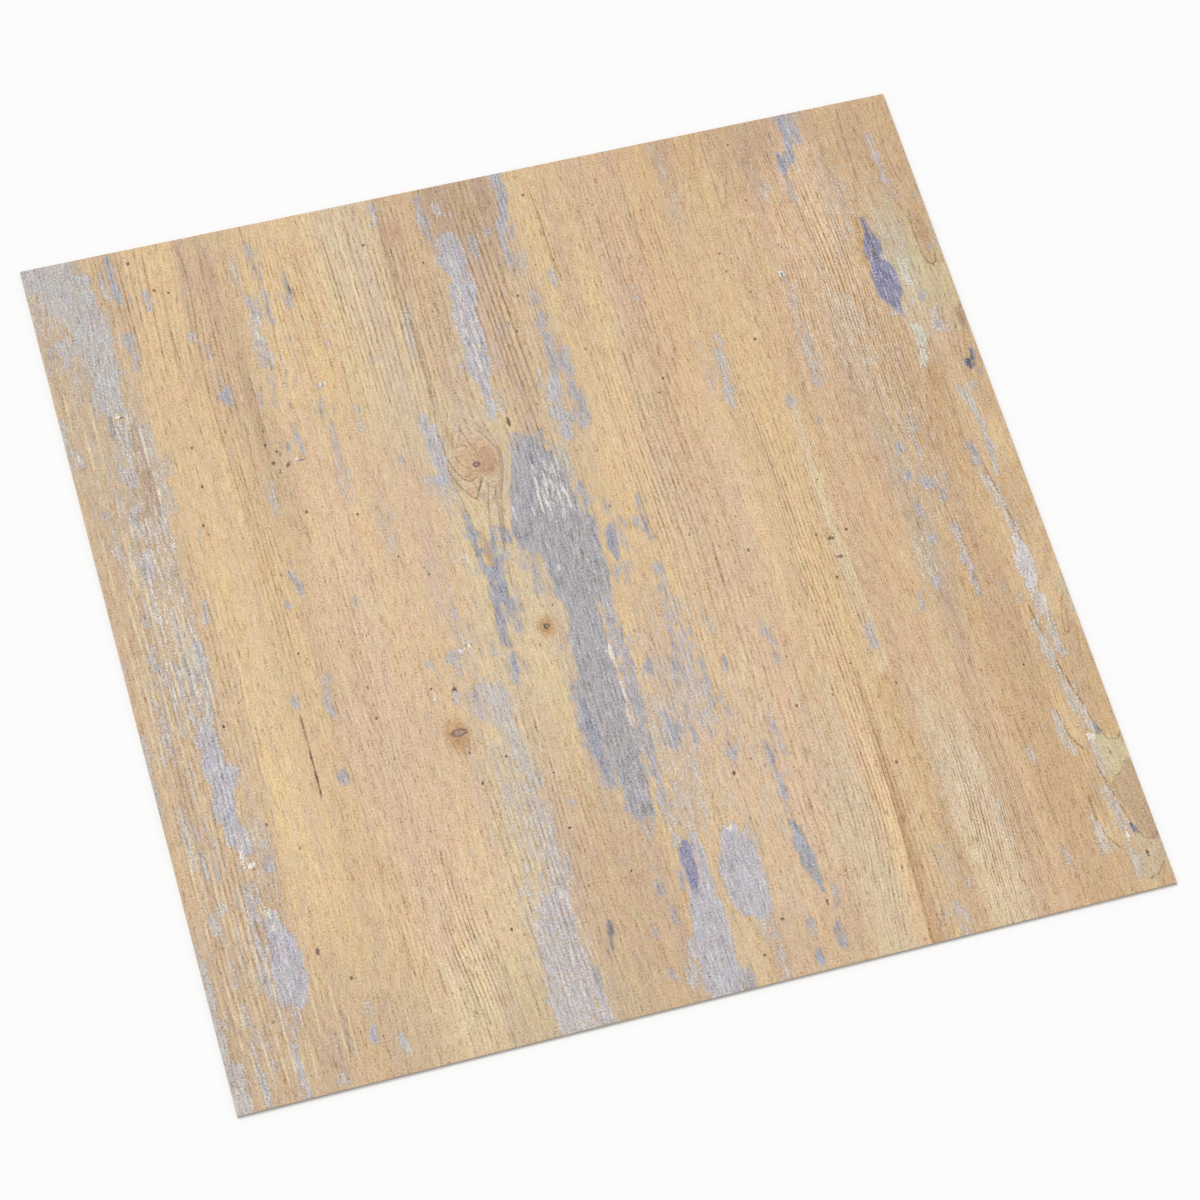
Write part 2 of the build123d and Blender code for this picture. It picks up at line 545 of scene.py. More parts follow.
# The paint between that strip and the middle.
LEFT_HALF = (
    (DOVE, .9, ((99.5, -98.2, -97.6), (97, -98.6, -97.2), (95, -98.4, -97.4))),
    (DOVE, .95, ((93.5, -97, -95.3), (91, -100, -95), (88, -99.5, -95.5), (86.5, -97.5, -96))),
    (DOVE, .7, ((110, -99.8, -98), (106, -100, -98))),
    (MIST, .5, ((116, -104, -102), (113, -103.5, -101.5))), fleck(DOVE, .8, -86.5, 88, 84),
    (LAVENDER, .62, ((125, -81.5, -80), (123, -82.5, -79), (119, -83, -78.5), (115, -83.5, -79),
     (110, -83.5, -79), (104, -84, -79.5), (98, -84.5, -79.5)), .5),
    (MIST, .5, ((98, -81.5, -80), (90, -81.5, -80.3), (84, -81.2, -80.5))),
    fleck(PEARL, .8, -81.4, 111.5, 108.5, .8), fleck(PEARL, .8, -80.4, 110.5, 107.5, .7),
    fleck(PEARL, .7, -79.6, 117, 114.5, .6), fleck(DUSK, .6, -80.8, 122, 118, .8),
    *flecks(DUSK, .6, .7, (-82.4, 105, 100), (-80.2, 100, 95)), fleck(DUSK, .7, -81.2, 88.5, 85.5, .7),
    *flecks(DUSK, .6, .6, (-75.4, 130, 126), (-75.4, 121, 116), (-67.5, 128, 123)),
    fleck(CHALK, 1, -65.2, 87.8, 85.8, 2), fleck(DUSK, .9, -65.3, 86.8, 85.9, .9),
    fleck(DUSK, .6, -66.8, 82, 76, .6), (MIST, .5, ((140, -84, -83), (136, -84.5, -83), (130, -84, -83))),
    (DOVE, .7, ((145, -77.5, -76.3), (134, -77, -75.7))),
    (DOVE, .6, ((130, -75.7, -75), (120, -76, -75), (114, -77, -75))),
    (DOVE, .6, ((130, -67.8, -67.2), (124, -68.5, -67.3), (118, -69, -68))),
    (MIST, .4, ((108, -60, -58.5), (101, -60.5, -59))),
    (DOVE, .55, ((86, -66.2, -65.3), (80, -68, -66), (76, -68.5, -65.7), (70, -67, -65.8),
     (62, -67.3, -65.5), (55, -68, -66), (50, -67.8, -66.2)), .5),
    (MIST, .5, ((76, -56.5, -56), (72, -57.3, -56.2), (67, -57, -56))),
    (DOVE, .9, ((74, -78.3, -77.5), (71, -78.7, -77.3), (65, -78.3, -77.2), (62, -78.5, -76.7),
     (61, -80, -77))),
    fleck(CHALK, 1, -80.5, 61.9, 61.1, 2), fleck(DOVE, .8, -82, 68, 66),
    (MIST, .55, ((56, -92, -90), (50, -92.2, -90.3), (44, -92, -90.4))),
    (DOVE, .75, ((25, -91.7, -90.7), (20, -92.6, -90.5), (17, -92.4, -90.5), (14, -91.7, -90.4))),
    (DOVE, .95, ((11.6, -97, -95.3), (10, -97.2, -95.2), (8.8, -96, -95.2))), fleck(MIST, .7, -75, 8, 6),
    (DOVE, .85, ((-21, -102.7, -101), (-25, -103.3, -102))),
    (DOVE, .7, ((-18, -91.5, -90), (-24, -92.5, -91), (-28, -93, -91), (-30.5, -92, -91))),
    (MIST, .35, ((44, -58.5, -55), (36, -59.2, -55.5), (28, -59.5, -56), (21, -59.3, -56.5)), 1),
    (MIST, .45, ((52, -69, -65), (42, -68.5, -65.5)), 1),
    (LAVENDER, .8, ((-33, -52, -50.8), (-37.5, -52.3, -50.7))), fleck(CHALK, .8, -59, -31.5, -34.5, 1.2),
    (MIST, .6, ((-126, -105.5, -104.5), (-130, -107, -105), (-133, -107, -105.5))),
    (DOVE, .95, ((-135, -107, -104.8), (-139, -107.3, -104.5), (-141, -106.3, -105))),
    (MIST, .95, ((-139, -98.3, -97), (-142, -99, -96.7), (-145, -98.5, -96.8), (-147, -97.5, -97))),
    (DOVE, .95, ((-50, -95, -92.8), (-52, -95.3, -92.2), (-54.5, -94.7, -92.5))),
    (MIST, .85, ((-18.3, -50, -46), (-20, -53, -46), (-22, -52, -49))),
    fleck(MIST, .7, -57, -19.6, -21.6, 5), (CHALK, 1, ((-18.2, -45.8, -44.6), (-18.9, -49, -45))),
    (CHALK, 1, ((-16.2, -42.6, -41.8), (-17.6, -44, -42.6))),
    (MIST, .4, ((-10, -46.5, -42.5), (-17, -46, -41.5))),
    (LAVENDER, .9, ((-4, -46, -44), (-7, -46, -44.3))),
    (LAVENDER, .95, ((44, -39, -34), (42.5, -39, -33.5), (41, -38.5, -33.5))),
    (LAVENDER, .5, ((41, -38, -33.5), (35, -36, -33), (30, -36, -33.5))),
    fleck(LAVENDER, .8, -41.3, 45, 42.5),
    (LAVENDER, .93, ((69, -37, -36), (66, -38, -35), (62, -37.5, -33.5), (58, -37, -33), (50, -38, -33),
     (44, -36, -33.3)), .4),
    (MIST, .45, ((108, -32, -31), (98, -33, -31.5), (90, -34, -32.5))),
    (LAVENDER, .8, ((151, -33.5, -31), (146, -34, -32), (142.5, -34, -32.3))),
    *flecks(DOVE, .9, 1.1, (-47, 93, 91), (-46.5, 55, 53)),
    (MIST, .8, ((-19, -36, -34.5), (-21, -37, -34.5), (-22.5, -36, -34.7))),
    (MIST, .75, ((-23.5, -49.5, -47.5), (-26.5, -49.5, -48))),
    (LAVENDER, .75, ((-31, -41.5, -39.5), (-33, -48, -36), (-38, -48, -36), (-43, -47.5, -36),
     (-46, -41, -36.5), (-50, -40, -36)), .8),
    (MIST, .8, ((-50, -40, -36), (-58, -39.5, -35.5), (-64, -39, -33.5), (-68, -38, -33.5),
     (-74, -41, -35.5), (-78, -40, -33), (-84, -40, -33.5), (-90, -40, -34.5), (-96, -40, -32.5),
     (-100, -40, -32.8), (-108, -42, -35)), 1),
    (MIST, .4, ((-54, -46, -40), (-72, -46, -40), (-96, -46.5, -40), (-106, -50, -40)), 1),
    (LAVENDER, .88, ((-106, -44, -35), (-112, -46, -35.5), (-118, -48, -36), (-126, -50, -36),
     (-134, -50, -34.5), (-140, -51, -33.5), (-153, -50, -33)), 1),
    (STEEL, .93, ((-130, -35.3, -33.8), (-142, -35.8, -33.6), (-153, -35.4, -33.4))),
    fleck(DOVE, .9, -44.5, -59, -61, 1.6), fleck(MIST, .9, -42, -98, -101, 1.6),
    (LEAD, .8, ((-120, -26.2, -25.5), (-124, -27.2, -25.8), (-128, -27.6, -26.1), (-129, -27.4, -26.5))),
    (DOVE, .8, ((-76, -27.3, -25.8), (-78.5, -27.5, -26))),
)

# The large slate patch in the middle, and what surrounds it.
MIDDLE = (
    (DOVE, .9, ((148.5, -17.2, -16), (144, -18, -15.5), (140, -18, -15), (134, -17.5, -15.5),
     (130, -16, -14), (127, -15.5, -13.5))),
    (LAVENDER, .93, ((134, -13, -9.8), (131, -13.5, -6.5), (128, -14.5, -6.5), (124, -15.5, -6),
     (120, -15, -6.5), (116, -13, -6.5), (113, -14.5, -6.3), (110, -15.5, -6.3), (106, -15, -7),
     (103, -16, -8.5), (98, -16.5, -9), (94, -16.5, -8.5), (90, -16, -8.5), (86, -17, -9), (83, -19, -8.5),
     (81, -19, -9), (78, -16, -10), (74, -15, -11), (70, -15, -11.5), (66, -14.5, -11.5),
     (62, -14.5, -13))),
    (DOVE, .94, ((133, -9.5, -7), (120, -9, -6.8), (106, -9.5, -7.3))), fleck(MIST, .7, -9.3, 69, 63),
    fleck(DOVE, .8, -7, 141, 139), (MIST, .6, ((146, -12, -9.5), (142, -11.5, -10))),
    (DOVE, .9, ((130, -3, -1.5), (126, -3.5, -1.3), (122.5, -3, -2))),
    (DOVE, .6, ((133.5, 2, 4.5), (130, 2.5, 5))),
    (DOVE, .97, ((153, 10, 14), (149, 10, 12.8), (146, 10.5, 14.5), (142, 10.3, 14), (138, 10, 13),
     (135, 8, 12.5), (132, 7, 11), (128, 6.5, 9), (124, 6.5, 9), (118, 7, 8.5))),
    (DOVE, .8, ((131, 10.7, 12.7), (127, 10.7, 12))), (DOVE, .6, ((120, 8, 10), (112, 8.3, 9.7))),
    (MIST, .35, ((121, 10, 14), (114, 10, 13))),
    (DOVE, .8, ((110.5, 19.5, 22), (108, 19.3, 21.5), (105.5, 19.8, 21))),
    (DOVE, .6, ((106, 12, 14), (103, 10.5, 13.5), (100, 10.5, 13))),
    (DOVE, .9, ((96.5, 12.3, 14), (94, 11.5, 14), (92, 10, 12.5), (90, 10, 12))),
    (DOVE, .85, ((88, 11, 13), (84, 10.7, 13.7), (80, 10.7, 13.5), (76, 10.5, 14), (74, 10.5, 13),
     (70, 9, 11))),
    (DOVE, .88, ((81, 14, 18), (78, 13.5, 18), (75, 12.5, 17), (73, 14, 16.5), (70, 14.5, 16.8),
     (66, 13.7, 16.5), (63, 13.7, 17.5), (60, 14, 18), (56, 13.5, 18), (53, 13, 18), (51, 14, 16.5))),
    (LAVENDER, .82, ((71, 9, 11.3), (68, 6, 11.5), (64, 6, 10.8), (60, 5.5, 10), (56, 6, 10.5),
     (54, 7, 10.8), (50, 7, 10.5), (48, 7.5, 9.5))),
    (DOVE, .9, ((57, 10, 12.5), (54, 10, 13))), (MIST, .7, ((75, 5, 6.5), (68, 5, 6.5))),
    (MIST, .5, ((98, 45.5, 47.5), (94, 45, 46.5))),
    (BLUE, .6, ((53, -11.5, 1), (50, -12, .5), (47, -12.5, 1)), .5),
    (SLATE, .97, ((52, -6.5, -4.5), (48, -10, -1), (43, -12.3, 2.5), (38, -13.5, 4.5), (33, -15.5, 4.5),
     (28, -17, 4.5), (24, -17.5, 5), (21, -18, 6), (18, -18.5, 8.7), (12, -18.5, 8.7), (10, -12.5, 8.5),
     (4, -11.5, 8), (-4, -11.7, 7.7), (-9, -11.3, 7), (-10, -10, .6), (-11, -9.5, .5), (-18, -9, .5),
     (-20.5, -10, .5), (-22, -11.8, .5), (-30, -12, .5), (-36, -12, .5), (-42, -12, .5), (-50, -11.5, .5),
     (-60, -9.7, .3), (-68, -9.7, 0), (-74, -10, -.4), (-78, -8.6, -.8), (-82, -9.5, -1.2),
     (-84.5, -10.5, -1.5), (-86, -13.3, -1.4), (-87, -9.5, -1.4), (-88.5, -5, -1.3))),
    fleck(VIOLET, .6, -5.4, 48, 41, .9), fleck(VIOLET, .6, -4.9, 44, 39, .8),
    fleck(DOVE, .95, -9.5, 50, 34, 4),
    *flecks(PEARL, .86, .6, (-7, 31.4, 27.4), (-6.2, 36, 31), (-5, 31, 25), (-4.4, 26, 22)),
    fleck(PEARL, .86, -3, 37, 32, .7), fleck(PEARL, .86, -2.2, 31, 26, .6),
    fleck(PEARL, .86, -1, 35, 29, .7), fleck(PEARL, .86, 0, 28, 22, .6),
    *flecks(PEARL, .86, .7, (.8, 40, 34), (1.6, 33, 26)), fleck(PEARL, .86, 2.6, 29, 23, .6),
    *flecks(PEARL, .8, .5, (-9.8, 26, 22), (-16.3, 28, 22), (-8.4, 36, 32)),
    fleck(PEARL, .86, -.4, 40, 36, .6), *flecks(PEARL, .8, .5, (-6.8, 26.4, 23.4), (-3.8, 33, 28.6)),
    fleck(PEARL, .8, 3.4, 36, 30, .6), *flecks(PEARL, .8, .5, (2.4, 42, 37), (-1.8, 42, 38)),
    fleck(PEARL, .75, -5.6, 41, 37.6, .5),
    *flecks(CHALK, .95, 1.1, (-7.4, 3.2, 1.8), (.4, -28, -36), (.6, -40, -47), (.2, -50, -58),
     (-12, -50, -54), (-11.2, -57, -60)),
    fleck(BLUE, .98, -13, -44, -72, 5), fleck(TAUPE, .9, 5, 20, 10),
    *flecks(FROST, .9, 1.1, (-12, 112, 104), (-13.6, 104, 93), (-11, 98, 87), (-12.6, 90, 79),
     (-11.4, 128, 118), (4.4, -134, -138), (2.6, -142, -146), (6, -122, -127)),
    *flecks(FROST, .9, .9, (-40.5, -126, -140), (-45, -132, -146), (-47.5, -112, -122)),
    (MIST, .6, ((46, 2, 6), (40, 1.5, 6.5), (32, 3, 6))), fleck(STEEL, .8, 18.6, -38, -68, .9),
    fleck(STEEL, .85, 21.4, -12, -64, .9), fleck(STEEL, .85, 23.5, -10, -70, 1),
    fleck(STEEL, .8, 25.5, -22, -66, .9), fleck(STEEL, .7, 27.5, -30, -56, .9),
    fleck(BLUE, .95, 24.2, 22, 6, 1.2),
    (STEEL, .88, ((-8, 1, 7), (-14, 1, 6), (-22, 1, 5.8), (-30, 1, 6.3), (-38, 1.3, 6.5), (-46, 1, 5.7),
     (-52, .6, 5.6), (-56, .6, 5.5), (-58, .6, 3.2), (-63, .6, 5), (-68, .8, 4.5), (-72, 1, 4),
     (-80, 1, 3.5), (-86, 1, 3.3), (-89.5, 1.5, 2.6)), .8),
    (MIST, .6, ((-90, 1.5, 3.7), (-94, 1.8, 3.5), (-99, 2, 3.5))),
    (STEEL, .5, ((-89.5, -5.8, -3), (-95, -6.2, -2.8))),
    (SLATE, .8, ((12, -18.5, -17), (8, -18.5, -17.3), (4, -18, -17.5))),
    (SLATE, .8, ((14, -16.5, -13), (10, -16, -13.3), (6, -16, -14), (2, -16, -15))),
    *flecks(DOVE, .9, 1.1, (-16.3, 0, -6), (-14.7, 4, -5)),
    (DOVE, .85, ((31, 7.5, 8.5), (28, 6, 9), (25, 6, 9), (23, 6.5, 9))),
    (BLUE, .95, ((13.5, 12, 14), (11, 10.3, 14.3), (8, 10.2, 13.8), (4, 10.5, 13.5), (1, 11.5, 13))),
    (MIST, .45, ((10, 14, 16), (7, 14.3, 17), (3.5, 14, 17))),
    (DOVE, .9, ((15.5, 17, 18), (13.5, 17, 18.7), (12, 17.5, 18.5))),
    (DOVE, .9, ((14.5, 21, 22), (12, 20.8, 22.3))), fleck(DOVE, .8, 14, 24.5, 13, .9),
    (VIOLET, .9, ((11, 24, 25), (9, 23.2, 25.7), (6, 24.3, 25.2))),
    (DOVE, .5, ((22, 25, 25.8), (19, 23.5, 25.8), (16, 23.7, 25.3))),
    (DOVE, .9, ((-4, 23.3, 25), (-6, 22.7, 25.7), (-8, 23, 25))),
    (DOVE, .8, ((-10.5, 22.8, 24.4), (-14, 22.7, 24.2))),
    (LAVENDER, .55, ((-16, 23.5, 24.5), (-20, 22.8, 25), (-24, 22.5, 25), (-30, 23, 25), (-36, 22, 25.5),
     (-44, 20.5, 26), (-50, 18.5, 27.5), (-56, 20, 27), (-64, 22, 26.5)), 1),
    (MIST, .25, ((-18, 26, 34), (-27, 26, 34))), (MIST, .4, ((-27, 34, 35), (-32, 34, 35))),
    (DOVE, .9, ((-1, 14, 15.3), (-3.5, 13, 15))), (DOVE, .9, ((-1, 9.5, 10.8), (-4, 9.7, 11))),
    (DOVE, .4, ((-5, 10, 13), (-8, 10, 13))),
    (BLUE, .9, ((-36.5, 10.5, 13), (-38.5, 8.8, 13), (-40.5, 9.8, 12), (-42, 10.7, 11.6))),
    (DOVE, .8, ((-42, 34.6, 35.3), (-45, 34.4, 35.7), (-46.3, 34.5, 35.5))),
    (BLUE, .9, ((28, -33, -31.7), (24, -32.7, -31), (20, -32.7, -30.3), (16, -33, -30), (14, -33.5, -30),
     (11, -33, -30), (9, -32, -29.5), (6, -31.5, -26), (2, -31.5, -25.5), (-2, -31.8, -25.3),
     (-6, -32, -29.8), (-10, -32.3, -29.8), (-16, -32.7, -29.8), (-20, -32.6, -30))),
    (BLUE, .9, ((21, -24.5, -23.3), (18, -26, -23.8), (15, -26.3, -24.5), (13, -26.7, -24.7),
     (8, -27.3, -25), (4, -28, -25.5), (-2, -28, -25.5), (-6, -28, -25.3), (-8.5, -27.3, -25.5))),
    (BLUE, .5, ((-8, -28, -26), (-12, -27.3, -25.7), (-16, -27, -25))),
    (BLUE, .9, ((-24, -32, -30), (-26, -32.3, -30), (-30, -32.5, -30), (-33.5, -32.3, -31))),
    (MIST, .5, ((16, -34, -33), (8, -34, -33))), fleck(CHALK, .9, -36, 13.5, 11.5, 2),
    (BLUE, .8, ((20.5, -23, -20.5), (18, -23, -20.7), (15.5, -22.5, -20))), fleck(DOVE, .7, -23, 14, 10),
    *flecks(DOVE, .8, 1.1, (-23.2, 1, -2), (-23.2, -4, -9), (-15, -25, -29)),
    fleck(DOVE, .7, -28, -27, -30),
    (STEEL, .88, ((-37, -15, -12), (-41, -14.5, -11.5), (-44, -17, -11.5), (-46, -14, -11),
     (-48, -16, -10.5), (-51, -17.5, -10), (-56, -16.5, -10), (-62, -16, -9.5), (-67, -15, -9),
     (-71, -14.5, -9.5), (-75, -14.3, -10.5), (-77, -13.5, -11)), .5),
    (STEEL, .82, ((-55, 10, 12), (-58, 8.5, 13), (-62, 7.5, 15), (-65, 8, 15), (-67, 9, 13.6),
     (-69, 9.6, 11)), .4),
    (MIST, .45, ((-40, 7, 17), (-50, 6.5, 17), (-56, 6.5, 18), (-68, 5, 17.5), (-80, 6, 15.5),
     (-99, 6, 14)), 1),
    (DOVE, .9, ((-68, 28, 29), (-72, 27.3, 28.8), (-75, 26.5, 28.8), (-77, 27, 28.3))),
    fleck(DOVE, .6, 30, -55, -63),
    (VIOLET, 1, ((-100, 3.8, 5.5), (-102, 2, 6.6), (-106, 1.6, 6.5), (-110, 1.7, 6), (-114, 2, 5.4),
     (-117, 2.3, 5), (-118.5, 3, 4.2))),
    (LAVENDER, .95, ((-98, 6.5, 9), (-103, 6.8, 9.5), (-108, 6.8, 9.8), (-112, 6, 9.5), (-118, .7, 9.7),
     (-122, 0, 9.8), (-128, -.6, 10), (-131, -1.5, 10), (-136, -2.8, 9.8), (-140, -3, 9.6),
     (-146, -2.8, 9.5), (-153, -2.5, 9))),
    (DOVE, .95, ((-146, 9, 12), (-150, 9, 13), (-153, 9, 13))),
    (DOVE, .9, ((-110, -.4, 1), (-114, -1.2, .6), (-117, -1, 0))),
    (MIST, .75, ((-132, -4, -2.5), (-139, -6, -3), (-142, -7, -2.8), (-146, -7.3, -4))),
    (LAVENDER, .97, ((-98.5, 17.6, 22), (-100, 16.8, 23.2), (-103, 15.8, 24.6), (-105.5, 14.8, 25.4),
     (-109, 13.2, 25.8), (-114, 12.8, 26.4), (-119, 13.4, 26), (-122, 13.6, 25), (-125, 14, 25.6),
     (-127.5, 14.8, 24.4), (-129.5, 16.8, 23.8), (-130.8, 19, 22.8))),
    fleck(CHALK, .9, 20, -98, -100, 2), (MIST, .7, ((-130, 20, 21), (-139, 20, 21))),
    (MIST, .8, ((-128, 22.5, 24.8), (-134, 22.7, 24.5), (-138, 23, 24))),
    (MIST, .45, ((-100, 25.5, 27), (-112, 25.5, 27.5), (-124, 25.5, 27))),
    (MIST, .8, ((-142, 22.5, 24), (-153, 22, 24))), (DOVE, .8, ((-112.5, -8, -6), (-115.5, -8.8, -6.8))),
    (DOVE, .6, ((-120.5, -7, -4.5), (-126, -6.5, -5))),
    (DOVE, .7, ((-125.5, -13.5, -12), (-128.5, -13.5, -12.3))),
    (DOVE, .9, ((-140.5, -12, -10.6), (-143.5, -12.3, -10.8))),
    (SLATE, .93, ((-73, 39.2, 40.3), (-78, 39, 40.6), (-82, 38.8, 41), (-90, 39.2, 41.2), (-95, 39, 40.7),
     (-98, 38.7, 39.7))),
    (SLATE, 1, ((-101, 38.8, 39.9), (-104, 38.6, 42), (-108, 38.3, 42.3), (-114, 38.2, 43.2),
     (-118, 38.8, 43.4), (-121, 40, 43.4), (-124, 41, 43.2), (-127, 41.8, 42.8))),
    (DOVE, .7, ((-125, 46, 46.6), (-129, 45.3, 47), (-133, 44.8, 46))),
    (BLUE, .9, ((-138.5, 42.5, 44), (-142, 42, 44.8), (-146, 42.5, 44))),
    (DOVE, .85, ((-64, 43.8, 44.4), (-67, 42.5, 44.5), (-70, 42, 44.2), (-73, 43, 45.7), (-76, 43, 45.5),
     (-79, 44, 45))),
    (DOVE, .7, ((-135.5, 35, 36.2), (-138, 34.2, 36), (-141, 34.3, 35.6))),
    (BLUE, 1, ((-145, 34.6, 36), (-148, 33.5, 36), (-151, 34.2, 35.6))),
)

